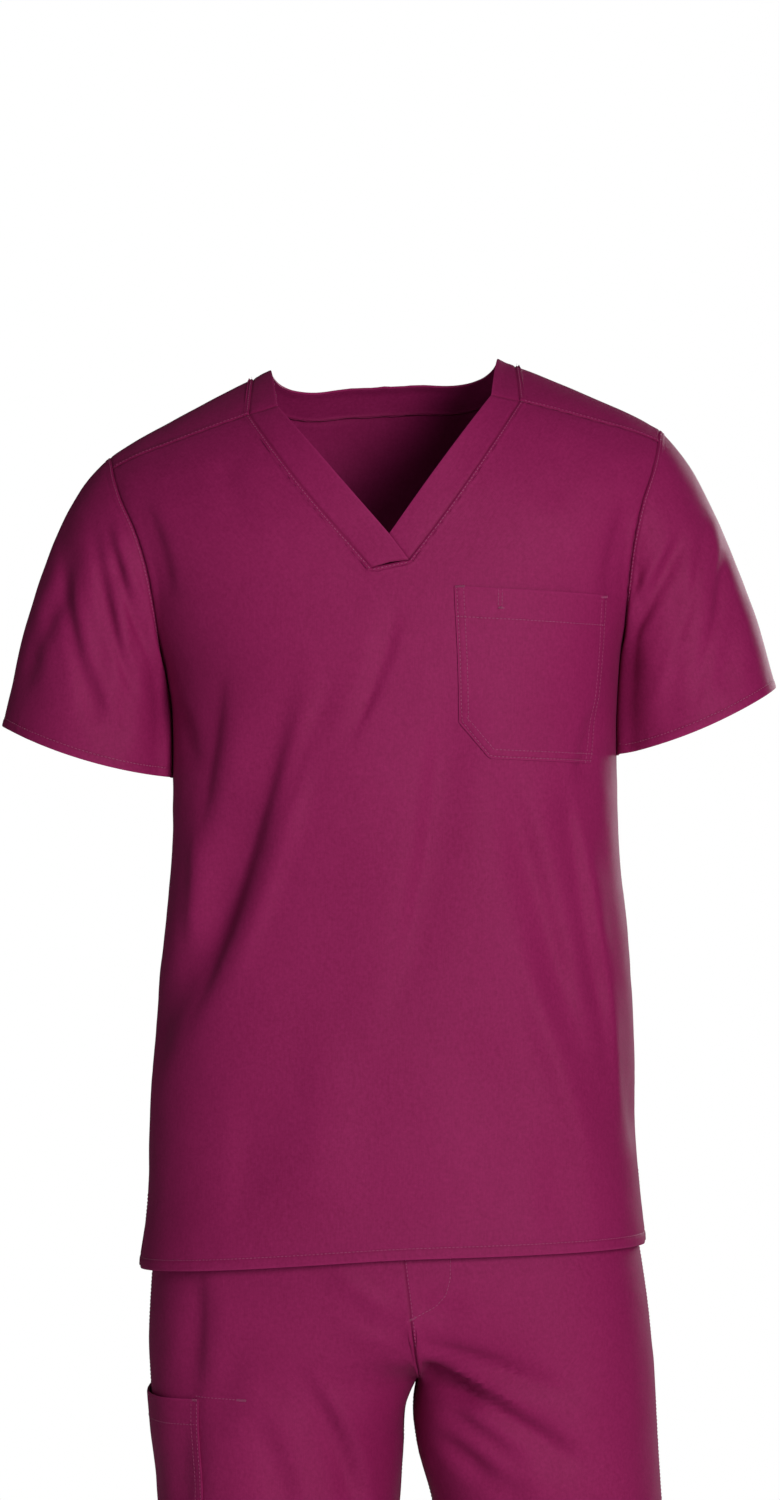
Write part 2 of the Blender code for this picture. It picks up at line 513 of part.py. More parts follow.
def sleeve_walls(loop_outer, loop_inner, away, pose):
    """Rings of a sleeve from its armhole loop to its cuff, outer and inner.

    The loop starts at the underarm, runs up the front and comes down the back. away points from
    the panels across the seam.
    """
    lengths = np.linalg.norm(np.roll(loop_outer, -1, axis=0) - loop_outer, axis=1)
    travelled = np.concatenate([[0.0], np.cumsum(lengths)[:-1]])
    crown = np.argmax(loop_outer[:, 2])
    turn = np.where(np.arange(len(loop_outer)) <= crown,
                    math.pi * (1.0 - travelled / travelled[crown]),
                    -math.pi * (travelled - travelled[crown]) / (lengths.sum() - travelled[crown]))
    outer_corner = np.array([CUFF_OUTER[0] + pose.cuff_out, CUFF_Y, CUFF_OUTER[1]])
    inner_corner = np.array([CUFF_INNER[0], CUFF_Y, CUFF_INNER[1]])
    centre = (outer_corner + inner_corner) / 2
    across = (outer_corner - inner_corner) / 2
    cosine = np.cos(turn)[:, None]
    sine = np.sin(turn)[:, None]
    cuff = centre + across * cosine + np.array([0.0, -CUFF_HALF_DEPTH, 0.0]) * sine
    cuff = cuff + np.array([0.0, 0.0, -CUFF_DIP]) * sine**2
    start = aim_vector(pose.top) * np.maximum(cosine, 0.0) ** 2
    start = start + aim_vector(SLEEVE_UNDER) * np.maximum(-cosine, 0.0) ** 2
    lean = np.concatenate([np.ones_like(sine), -np.sign(sine), np.ones_like(sine)], axis=1)
    start = start + aim_vector(SLEEVE_SIDE) * lean * sine**2
    end = mix(aim_vector(SLEEVE_CUFF), aim_vector(SLEEVE_CUFF_UNDER), np.maximum(-cosine, 0.0) ** 2)
    span = np.linalg.norm(cuff - loop_outer, axis=1)[:, None]
    rings = []
    tangents = []
    for t in SLEEVE_SHARES:
        ring = (2 * t**3 - 3 * t**2 + 1) * loop_outer + (t**3 - 2 * t**2 + t) * span * start
        ring = ring + (3 * t**2 - 2 * t**3) * cuff + (t**3 - t**2) * span * end
        tangent = (6 * t**2 - 6 * t) * (loop_outer - cuff) + (3 * t**2 - 4 * t + 1) * span * start
        tangents.append(tangent + (3 * t**2 - 2 * t) * span * end)
        rings.append(ring)
    rings = np.array(rings)
    around = np.roll(rings, -1, axis=1) - np.roll(rings, 1, axis=1)
    normal = unit(np.cross(np.array(tangents), around))
    fade = np.clip(np.array(SLEEVE_SHARES) / SLEEVE_FOLD_FADE, 0.0, 1.0)[:, None]
    outer = rings - normal * (fold_depth((pose.name, "sleeve"), rings) * fade)[..., None]
    inner = outer - normal * WALL
    outer[0] = loop_outer + away * SEAM_GAP / 2
    inner[0] = loop_inner + away * SEAM_GAP / 2
    return outer, inner


def aim_vector(aim):
    """Direction times reach of a sleeve aim."""
    return np.array([aim.x, aim.y, aim.z]) * aim.reach


# --- the trousers' surface ---------------------------------------------------------------------

def leg_point(leg, face, share, z):
    """Point of a trouser panel's outside.

    leg is the level table of a leg, face is -1 on the front and 1 on the back, and share goes
    from 0 at the outseam to 1 at the centre seam or the inseam.
    """
    hand = np.sign(leg[0].outer - leg[0].inner)
    outer = level(leg, "outer", z)
    inner = np.where(z < CROTCH_Z, level(leg, "inner", z), level(LEG_RIGHT, "inner", z))
    inner = inner + hand * SEAM_GAP / 2
    middle = level(leg, "middle", z)
    depth = level(leg, "front" if face < 0 else "back", z)
    power = level(leg, "power", z)
    turn = np.cos(share * math.pi)
    out = (1.0 + np.sign(turn) * np.abs(turn) ** (2.0 / power)) / 2
    body_reach = (1.0 - out**power) ** (1.0 / power)
    leg_reach = np.abs(np.sin(share * math.pi)) ** (2.0 / power)
    fork = np.clip((FORK_TOP_Z - z) / (FORK_TOP_Z - CROTCH_Z), 0.0, 1.0)
    split = np.clip((SPLIT_TOP_Z - z) / (SPLIT_TOP_Z - SPLIT_END_Z), 0.0, 1.0)
    gentle = split**2 * (3.0 - 2.0 * split)
    hold = np.clip((share - SPLIT_HOLD_START) / (SPLIT_HOLD_END - SPLIT_HOLD_START), 0.0, 1.0)
    hold = hold**2 * (3.0 - 2.0 * hold)
    leg_share = mix(gentle, 1.0 - np.sqrt(1.0 - fork**FORK_POWER), hold)
    reach = mix(body_reach, leg_reach, leg_share)
    x, y, z = np.broadcast_arrays(mix(inner, outer, out), middle + face * depth * reach, z)
    return np.stack([x, y, z], axis=-1)


def leg_walls(leg, face, share, z, lift=0.0):
    """Outer and inner wall points of a trouser panel."""
    share, z = np.broadcast_arrays(share, z)
    base = leg_point(leg, face, share, z)
    ahead = np.minimum(share + LEG_SMALL_STEP, 1.0)
    behind = np.maximum(share - LEG_SMALL_STEP, 0.0)
    along = leg_point(leg, face, ahead, z) - leg_point(leg, face, behind, z)
    upward = leg_point(leg, face, share, z + LEG_SMALL_STEP)
    upward = upward - leg_point(leg, face, share, z - LEG_SMALL_STEP)
    normal = unit(np.cross(along, upward))
    hand = np.sign(leg[0].outer - leg[0].inner)
    normal = normal * hand * face
    depth = fold_depth("trousers", base) * (1.0 - share**LEG_FOLD_FADE)
    outer = base + normal * (lift - depth)[..., None]
    return outer, outer - normal * WALL


# --- solids --------------------------------------------------------------------------------------

def cloth_material(name):
    """A matt woven cloth."""
    material = bpy.data.materials.new(name)
    material.use_nodes = True
    shader = material.node_tree.nodes["Principled BSDF"]
    shader.inputs["Base Color"].default_value = CLOTH_COLOUR
    shader.inputs["Roughness"].default_value = CLOTH_ROUGHNESS
    shader.inputs["Metallic"].default_value = 0.0
    return material


def cloth(collection, name, outer, inner, closed=False):
    """Makes one piece of cloth: two grids of points, joined round every edge.

    Points that are not numbers are left out. A closed grid's last column meets its first.
    """
    rows, columns = outer.shape[:2]
    present = ~np.isnan(outer[..., 0])
    number = np.full((rows, columns), -1)
    number[present] = np.arange(present.sum())
    count = int(present.sum())
    points = np.concatenate([outer[present], inner[present]])
    outside = []
    for row in range(rows - 1):
        for column in range(columns if closed else columns - 1):
            beside = (column + 1) % columns
            corners = (number[row, column], number[row, beside],
                       number[row + 1, beside], number[row + 1, column])
            if min(corners) >= 0:
                outside.append(corners)
    edges = {}
    for corners in outside:
        for start, end in zip(corners, corners[1:] + corners[:1]):
            edges[(start, end)] = edges.get((start, end), 0) + 1
    rim = [edge for edge in edges if (edge[1], edge[0]) not in edges]
    faces = list(outside)
    faces += [tuple(corner + count for corner in reversed(corners)) for corners in outside]
    faces += [(end, start, start + count, end + count) for start, end in rim]
    mesh = bpy.data.meshes.new(name)
    mesh.from_pydata(points.tolist(), [], faces)
    mesh.update()
    volume = sum(triangle_volume(points, corners) for corners in faces)
    if volume < 0:
        mesh.flip_normals()
    mesh.shade_smooth()
    mesh.materials.append(cloth_material(name))
    solid = bpy.data.objects.new(name, mesh)
    collection.objects.link(solid)
    return solid


def triangle_volume(points, corners):
    """Signed volume between a four-cornered face and the origin, times six."""
    first, second, third, fourth = (points[corner] for corner in corners)
    return np.dot(first, np.cross(second, third)) + np.dot(first, np.cross(third, fourth))


# --- pieces ------------------------------------------------------------------------------------

def make_top(collection):
    """Front, back, sleeves, neckband and chest pocket."""
    tip_row = BODY_ROWS + CHEST_ROWS
    middle = HALF_COLUMNS
    front_x, front_z = front_grid()
    front_outer, front_inner = top_walls(front_x, front_z, -1.0)
    back_x, back_z, back_side = back_grid()
    back_outer, back_inner = top_walls(back_x, back_z, back_side)
    make_sleeves(collection, front_outer, front_inner, back_outer, back_inner)
    make_neckband(collection, front_x, front_z, back_x, back_z, back_side)
    make_chest_pocket(collection)

    for edge, inside in ((0, 1), (-1, -2)):
        for outer, inner in ((front_outer, front_inner), (back_outer, back_inner)):
            pull(outer, inner, np.s_[BODY_ROWS, edge], np.s_[BODY_ROWS - 1, edge])
            pull(outer, inner, np.s_[:, edge], np.s_[:, inside])
    for edge, inside in ((middle - 1, middle - 2), (middle + 1, middle + 2)):
        pull(front_outer, front_inner, np.s_[tip_row:, edge], np.s_[tip_row:, inside])
    bottom = np.s_[tip_row, middle - 1:middle + 2]
    pull(front_outer, front_inner, bottom, np.s_[tip_row - 1, middle - 1:middle + 2])
    for half in (np.s_[:middle], np.s_[middle + 1:]):
        pull(front_outer, front_inner, np.s_[-1, half], np.s_[-2, half])
    centre = back_x.shape[1] // 2
    neck = np.s_[centre - NECK_COLUMNS + 1:centre + NECK_COLUMNS]
    ridge_row = -1 - FLAP_ROWS
    pull(back_outer, back_inner, np.s_[ridge_row, neck], np.s_[ridge_row - 1, neck])
    for column, inside in ((centre - NECK_COLUMNS, centre - NECK_COLUMNS - 1),
                           (centre + NECK_COLUMNS, centre + NECK_COLUMNS + 1)):
        pull(back_outer, back_inner, np.s_[ridge_row:, column], np.s_[ridge_row:, inside])
    for half in (np.s_[:centre - NECK_COLUMNS + 1], np.s_[centre + NECK_COLUMNS:]):
        pull(back_outer, back_inner, np.s_[-1, half], np.s_[-2, half])
    cloth(collection, "top_front", stand(front_outer), stand(front_inner))
    cloth(collection, "top_back", stand(back_outer), stand(back_inner))


def make_sleeves(collection, front_outer, front_inner, back_outer, back_inner):
    """Both sleeves, on the loops that the panels' armhole edges make."""
    for pose in SLEEVE_POSES:
        edge, inside = (0, 1) if pose.hand < 0 else (-1, -2)
        mirror = np.array([pose.hand, 1.0, 1.0])
        loop_outer = armhole_loop(front_outer, back_outer, edge) * mirror
        loop_inner = armhole_loop(front_inner, back_inner, edge) * mirror
        beside = armhole_loop(front_outer, back_outer, inside) * mirror
        away = unit(loop_outer - beside)
        away[0] = (0.0, 0.0, 1.0)
        outer, inner = sleeve_walls(loop_outer, loop_inner, away, pose)
        cloth(collection, pose.name, stand(outer * mirror), stand(inner * mirror), closed=True)


def armhole_loop(front, back, column):
    """Points of one column from the underarm up the front panel and down the back panel."""
    return np.concatenate([front[BODY_ROWS:, column], back[BODY_ROWS + 1:-1, column][::-1]])


def band_places(seam_x, seam_path, edge_x, edge_path):
    """Places across and heights of a band, in three columns from its seam to its free edge."""
    across = np.array([0.0, 0.5, 1.0])
    x = mix(seam_x[:, None], edge_x[:, None], across)
    path = mix(seam_path[:, None], edge_path[:, None], across)
    return x, ridge_z(x) - ROLL_DEPTH * np.abs(path) ** OVER_POWER


def make_neckband(collection, front_x, front_z, back_x, back_z, back_side):
    """The two V bands, the wearer's right one lapped over, and the band round the back neck."""
    tip_row = BODY_ROWS + CHEST_ROWS
    middle = HALF_COLUMNS
    edge_z = ridge_z(NECK_EDGE_FRONT_X) - EDGE_DROP_NECK
    for name, hand, column in (("neckband_right", -1, middle - 1), ("neckband_left", 1, middle + 1)):
        seam_x = front_x[tip_row:, column]
        seam_z = front_z[tip_row:, column]
        share = (seam_z - seam_z[0]) / (seam_z[-1] - seam_z[0])
        if hand < 0:
            end_x = V_BOTTOM_HALF
            end_z = V_BOTTOM_Z + V_BOTTOM_SLOPE * V_BOTTOM_HALF
            reach = (end_z - V_TIP_Z) / (end_z - edge_z)
            edge_x = np.where(share < reach, mix(end_x, 0.0, share / reach),
                              mix(0.0, -NECK_EDGE_FRONT_X, (share - reach) / (1.0 - reach)))
            free_z = mix(end_z, edge_z, share)
        else:
            edge_x = mix(0.0, NECK_EDGE_FRONT_X, share)
            free_z = mix(V_TIP_Z, edge_z, share)
        seam_path = path_of(ridge_z(seam_x) - seam_z)
        edge_path = path_of(ridge_z(edge_x) - free_z)
        x, z = band_places(seam_x, seam_path, edge_x, edge_path)
        outer, inner = top_walls(x, z, -1.0)
        pull(outer, inner, np.s_[:, 0], np.s_[:, 1])
        pull(outer, inner, np.s_[-1, :], np.s_[-2, :])
        pull(outer, inner, np.s_[0, :], np.s_[1, :])
        cloth(collection, name, stand(outer), stand(inner))

    centre = back_x.shape[1] // 2
    ridge_row = back_x.shape[0] - 1 - FLAP_ROWS
    first, last = centre - NECK_COLUMNS, centre + NECK_COLUMNS
    rows = np.concatenate([np.arange(ridge_row + FLAP_ROWS, ridge_row, -1),
                           np.full(2 * NECK_COLUMNS + 1, ridge_row),
                           np.arange(ridge_row + 1, ridge_row + FLAP_ROWS + 1)])
    columns = np.concatenate([np.full(FLAP_ROWS, first), np.arange(first, last + 1),
                              np.full(FLAP_ROWS, last)])
    seam_x = back_x[rows, columns]
    seam_z = back_z[rows, columns]
    seam_side = back_side[rows, columns]
    seam_path = path_of(ridge_z(seam_x) - seam_z) * -seam_side
    front_share = np.clip(seam_path / path_of(SEAM_DROP_NECK), 0.0, 1.0)
    back_share = np.clip(-seam_path / NECK_SEAM_REACH, 0.0, 1.0)
    edge_x = np.sign(seam_x) * mix(NECK_EDGE_X, NECK_EDGE_FRONT_X, front_share)
    edge_x = np.where(seam_side > 0, seam_x / NECK_SEAM_X * NECK_EDGE_X, edge_x)
    edge_path = front_share * path_of(EDGE_DROP_NECK) - back_share * NECK_EDGE_REACH
    x, z = band_places(seam_x, seam_path, edge_x, edge_path)
    side = np.where(seam_path[:, None] > 0, -1.0, 1.0)
    outer, inner = top_walls(x, z, side)
    pull(outer, inner, np.s_[:, 0], np.s_[:, 1])
    pull(outer, inner, np.s_[0, :], np.s_[1, :])
    pull(outer, inner, np.s_[-1, :], np.s_[-2, :])
    cloth(collection, "neckband_back", stand(outer), stand(inner))


def make_chest_pocket(collection):
    """Patch pocket with its lower inner corner clipped, a layer off the front panel."""
    across = np.array(POCKET_COLUMNS)
    clip = np.clip(1.0 - across / POCKET_CLIP_ACROSS, 0.0, 1.0)
    down = np.linspace(0.0, 1.0, POCKET_ROWS)[:, None] * (1.0 - POCKET_CLIP_UP * clip)[None, :]
    across = np.broadcast_to(across, down.shape)
    places = []
    for axis in (0, 1):
        top = mix(POCKET_TOP_IN[axis], POCKET_TOP_OUT[axis], across)
        bottom = mix(POCKET_BOTTOM_IN[axis], POCKET_BOTTOM_OUT[axis], across)
        places.append(mix(top, bottom, down))
    outer, inner = top_walls(places[0], places[1], -1.0, lift=POCKET_GAP + WALL)
    cloth(collection, "chest_pocket", stand(outer), stand(inner))


def make_trousers(collection):
    """Four leg panels, the waistband and the cargo pocket."""
    z = np.array(LEG_ROW_Z)[:, None]
    share = np.linspace(0.0, 1.0, LEG_COLUMNS + 1)[None, :]
    crotch_row = LEG_ROW_Z.index(CROTCH_Z)
    for hand, leg in (("right", LEG_RIGHT), ("left", LEG_LEFT)):
        for face_name, face in (("front", -1), ("back", 1)):
            outer, inner = leg_walls(leg, face, share, z)
            pull(outer, inner, np.s_[:, 0], np.s_[:, 1])
            pull(outer, inner, np.s_[crotch_row:, -1], np.s_[crotch_row:, -2])
            pull(outer, inner, np.s_[0, :], np.s_[1, :])
            cloth(collection, f"leg_{face_name}_{hand}", stand_trousers(outer), stand_trousers(inner))

    band_z = np.linspace(WAIST_Z, WAISTBAND_Z, 3)[:, None]
    quarter = np.linspace(0.0, 1.0, LEG_COLUMNS + 1)
    pieces = []
    for leg, face, turned in ((LEG_RIGHT, -1, False), (LEG_LEFT, -1, True),
                              (LEG_LEFT, 1, False), (LEG_RIGHT, 1, True)):
        shares = quarter[::-1] if turned else quarter
        pieces.append(leg_walls(leg, face, shares[None, :-1], band_z))
    outer = np.concatenate([piece[0] for piece in pieces], axis=1)
    inner = np.concatenate([piece[1] for piece in pieces], axis=1)
    cloth(collection, "waistband", stand_trousers(outer), stand_trousers(inner), closed=True)

    pocket_z = z[LEG_ROW_Z.index(CARGO_TOP_Z):LEG_ROW_Z.index(CARGO_BOTTOM_Z) + 1]
    lift = LAYER_GAP + WALL
    front = leg_walls(LEG_RIGHT, -1, share[:, CARGO_COLUMNS::-1], pocket_z, lift)
    back = leg_walls(LEG_RIGHT, 1, share[:, 1:CARGO_COLUMNS + 1], pocket_z, lift)
    outer = np.concatenate([front[0], back[0]], axis=1)
    inner = np.concatenate([front[1], back[1]], axis=1)
    cloth(collection, "cargo_pocket", stand_trousers(outer), stand_trousers(inner))


def main():
    """Empties the scene and builds the scrubs in a collection of their own."""
    for leftover in list(bpy.data.objects):
        bpy.data.objects.remove(leftover, do_unlink=True)
    collection = bpy.data.collections.new("medical scrubs")
    bpy.context.scene.collection.children.link(collection)
    make_top(collection)
    make_trousers(collection)


main()
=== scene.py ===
"""Medical scrubs in plum poplin: a V-neck top and straight trousers, hollow and in their worn form.

The cloth of every piece is a thin shell on the form of its solid, with listed creases, seams that
pull in, folded hems, and rows of stitches as small meshes of their own. Lengths are metres,
+Z is up, the front faces -Y and the wearer's left is +X.
"""
import logging
import math
from dataclasses import dataclass, field
from enum import Enum
from typing import NamedTuple, Optional, Sequence, Union

import bpy
import numpy as np
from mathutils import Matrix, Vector, noise
from mathutils.bvhtree import BVHTree
from mathutils.kdtree import KDTree


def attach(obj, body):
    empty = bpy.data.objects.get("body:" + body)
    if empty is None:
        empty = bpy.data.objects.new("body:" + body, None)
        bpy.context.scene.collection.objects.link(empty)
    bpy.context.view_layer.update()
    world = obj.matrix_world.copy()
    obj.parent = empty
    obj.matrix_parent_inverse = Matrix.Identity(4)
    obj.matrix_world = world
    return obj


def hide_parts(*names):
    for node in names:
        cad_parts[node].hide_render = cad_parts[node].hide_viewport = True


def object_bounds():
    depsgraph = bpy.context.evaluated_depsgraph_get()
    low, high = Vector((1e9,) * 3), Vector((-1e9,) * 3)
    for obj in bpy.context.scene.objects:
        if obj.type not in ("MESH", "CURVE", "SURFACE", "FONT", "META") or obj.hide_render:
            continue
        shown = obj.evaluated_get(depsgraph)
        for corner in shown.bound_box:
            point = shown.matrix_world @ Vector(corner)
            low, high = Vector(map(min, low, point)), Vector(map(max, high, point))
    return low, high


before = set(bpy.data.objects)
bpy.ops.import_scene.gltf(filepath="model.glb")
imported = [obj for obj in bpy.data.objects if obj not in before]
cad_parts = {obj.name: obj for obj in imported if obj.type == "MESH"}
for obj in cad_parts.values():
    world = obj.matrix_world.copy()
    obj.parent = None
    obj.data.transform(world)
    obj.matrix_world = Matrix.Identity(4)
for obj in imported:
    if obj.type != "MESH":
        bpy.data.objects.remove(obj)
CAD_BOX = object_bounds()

log = logging.getLogger("scrubs")

Array = np.ndarray
Amount = Union[float, Array]
FRONT = -1.0
BACK = 1.0
ALL = slice(None)
QUARTERS = np.s_[:-1, :-1], np.s_[:-1, 1:], np.s_[1:, 1:], np.s_[1:, :-1]

LINE_PITCH = 0.003      # step between the points of a line of stitches
TOPSTITCH = 0.0017      # distance of a topstitch from its seam
EDGE_STITCH = 0.0018    # distance of a pocket's outer row from its edge
TACK = 0.007            # length of a bar tack
SEWN_REACH = 0.03       # how far from an edge its sewing is felt
EDGE_PITCH = 0.0012     # step between the points that distances are read from
STRIP_WALL = 0.0003     # thickness of the strips behind the seams
TURN_IN = 0.003         # how far the strip behind a seam reaches under each piece


# --- tables of the form, the same as the solids have ---

class Table:
    """Rows of numbers in named columns, read on smooth curves."""

    def __init__(self, text: str) -> None:
        """Reads the columns.

        Args:
            text: Their names and then the rows, which rise by the first column.
        """
        names, *rows = (line.split() for line in text.strip().splitlines())
        self.columns = dict(zip(names, np.array(rows, dtype=float).T))
        self.places = self.columns[names[0]]

    def at(self, column: str, place: Amount) -> Array:
        """Reads a column, held to its ends beyond them.

        Args:
            column: Its name.
            place: Where.

        Returns:
            Its values there.
        """
        values = self.columns[column]
        slopes = np.gradient(values, self.places)
        place = np.clip(place, self.places[0], self.places[-1])
        low = np.clip(np.searchsorted(self.places, place) - 1, 0, len(values) - 2)
        high = low + 1
        step = self.places[high] - self.places[low]
        share = (place - self.places[low]) / step
        return curve(share, values[low], values[high], step * slopes[low], step * slopes[high])


class Fold(NamedTuple):
    """A large fold of the solids: a straight axis, with the reach and depth of its trough."""

    x0: float
    y0: float
    z0: float
    x1: float
    y1: float
    z1: float
    reach: float
    depth: float


class Crease(NamedTuple):
    """A fine crease as seen from the front or the back, bowed to one side.

    A positive depth is a trough and a negative one is a ridge. With a lean above 0 it is soft on
    the right as it runs down, and sharp on the left; below 0 it is the other way round.
    """

    x0: float
    z0: float
    x1: float
    z1: float
    bow: float
    reach: float
    depth: float
    lean: float = 0.0


class SleevePose(NamedTuple):
    """How a sleeve hangs: its hand, how far its cuff stands out, and how it leaves the shoulder."""

    name: str
    hand: int
    cuff_out: float
    leave: Array


def aim(x: float, y: float, z: float, reach: float) -> Array:
    """How the cloth runs at an edge: its direction, and how far it holds that direction."""
    return np.array([x, y, z]) * reach


def in_metres(kind: type, text: str) -> tuple:
    """Reads rows of a kind, written in millimetres and with their leans in thousandths."""
    rows = text.strip().splitlines()
    return tuple(kind(*(float(value) / 1000.0 for value in row.split())) for row in rows)


TORSO = Table("""
    z half_width front back power centre
    -0.720 0.2000 0.118 0.1225 2.5 0.0068
    -0.640 0.1955 0.117 0.1185 2.5 0.0072
    -0.560 0.1935 0.116 0.1120 2.5 0.0075
    -0.480 0.1875 0.117 0.1080 2.5 0.0083
    -0.400 0.1800 0.120 0.1110 2.4 0.0088
    -0.330 0.1775 0.123 0.1160 2.4 0.0088
    -0.245 0.1820 0.124 0.1200 2.4 0.0078
    -0.190 0.1990 0.121 0.1190 2.4 0.0058
    -0.150 0.2130 0.117 0.1150 2.4 0.0045
    -0.100 0.2310 0.112 0.1090 2.4 0.0020
    -0.060 0.2420 0.110 0.1060 2.4 0.0008
    0.020 0.2520 0.108 0.1040 2.4 0.0000
    0.060 0.2520 0.108 0.1040 2.4 0.0000
""")
SHOULDER_RIDGE = Table("""
    x z
    0.000 0.0340
    0.030 0.0300
    0.060 0.0165
    0.091 0.0000
    0.130 -0.0180
    0.171 -0.0375
    0.200 -0.0515
    0.221 -0.0645
    0.260 -0.0950
""")
ARMHOLE = Table("""
    z front_x back_x
    -0.245 0.1820 0.1820
    -0.234 0.1835 0.1842
    -0.190 0.1872 0.1915
    -0.150 0.1935 0.1985
    -0.125 0.2005 0.2050
    -0.100 0.2105 0.2125
    -0.080 0.2165 0.2180
    -0.060 0.2205 0.2205
""")
SLEEVE_SIDE = aim(0.60, 0.22, -0.80, 0.60)
SLEEVE_UNDER = aim(0.60, 0.0, -0.80, 0.45)
SLEEVE_CUFF = aim(0.24, 0.0, -0.97, 0.85)
SLEEVE_CUFF_UNDER = aim(0.05, 0.0, -1.0, 0.60)
SLEEVE_POSES = (
    SleevePose("sleeve_right", -1, 0.0060, aim(0.81, 0.0, -0.585, 0.86)),
    SleevePose("sleeve_left", 1, -0.0020, aim(0.71, 0.0, -0.70, 0.74)),
)
LEG = Table("""
    z outer_right inner_right outer_left inner_left front back middle power
    -1.600 -0.1570 -0.0110 0.2720 0.1260 0.073 0.076 0.020 2.05
    -1.400 -0.1570 -0.0120 0.2550 0.1080 0.076 0.078 0.012 2.05
    -1.200 -0.1610 -0.0090 0.2405 0.0860 0.082 0.080 0.002 2.10
    -1.100 -0.1660 -0.0040 0.2340 0.0710 0.086 0.086 0.003 2.10
    -1.000 -0.1720 0.0040 0.2280 0.0550 0.092 0.095 0.006 2.15
    -0.905 -0.1775 0.0128 0.2213 0.0372 0.099 0.106 0.010 2.20
    -0.867 -0.1805 0.0152 0.2190 0.0270 0.102 0.113 0.010 2.20
    -0.830 -0.1850 0.0184 0.2170 0.0240 0.106 0.121 0.010 2.25
    -0.811 -0.1865 0.0270 0.2155 0.0270 0.108 0.125 0.010 2.30
    -0.780 -0.1880 0.0240 0.2130 0.0240 0.110 0.1275 0.010 2.35
    -0.740 -0.1870 0.0195 0.2080 0.0195 0.112 0.1234 0.010 2.40
    -0.700 -0.1835 0.0145 0.2010 0.0145 0.110 0.1171 0.010 2.40
    -0.660 -0.1740 0.0110 0.1900 0.0110 0.106 0.1085 0.010 2.40
    -0.615 -0.1610 0.0090 0.1760 0.0090 0.100 0.099 0.010 2.35
    -0.570 -0.1560 0.0080 0.1700 0.0080 0.098 0.094 0.010 2.30
""")
FOLDS = {
    "top": in_metres(Fold, """
    -120 -100 -390 -182 -30 -520 26 7
    -135 -85 -350 -150 -80 -430 22 3
    150 -80 -370 176 -70 -500 24 6
    176 -70 -500 196 -20 -610 24 5
    120 -105 -500 155 -95 -590 26 3
    40 -115 -330 70 -115 -560 40 3
    -60 -115 -420 -70 -115 -600 45 3
    -90 110 -330 -150 80 -480 30 6
    95 110 -330 150 85 -500 30 6
    -40 115 -420 -70 115 -560 34 5
    45 115 -440 60 115 -580 34 5
    """),
    "sleeve_right": in_metres(Fold, """
    262 -40 -150 285 -20 -235 13 4
    222 -58 -160 236 -62 -262 14 5
    196 -60 -215 212 -60 -285 12 5
    """),
    "sleeve_left": in_metres(Fold, """
    270 -35 -150 262 -50 -262 14 4
    240 -60 -140 196 -62 -235 14 5
    230 -60 -200 214 -60 -290 13 4
    """),
    "sleeve": in_metres(Fold, """
    240 75 -140 205 75 -250 16 5
    272 60 -165 262 70 -270 15 4
    """),
    "trousers": in_metres(Fold, """
    40 -85 -815 130 -95 -868 14 5
    40 -95 -795 135 -100 -818 13 4
    45 -75 -850 100 -85 -895 13 4
    -65 -100 -815 -25 -95 -905 18 5
    -140 -70 -740 -158 -60 -880 18 5
    -130 -70 -1170 -50 -75 -1215 20 5
    115 -75 -1175 205 -70 -1225 20 5
    -120 85 -1190 -40 85 -1165 20 6
    120 85 -1165 210 85 -1200 20 6
    -130 -55 -1520 -45 -55 -1500 18 4
    160 -55 -1490 245 -55 -1515 18 4
    -110 130 -820 -20 125 -880 20 3.5
    60 125 -880 150 130 -820 20 3.5
    """),
}
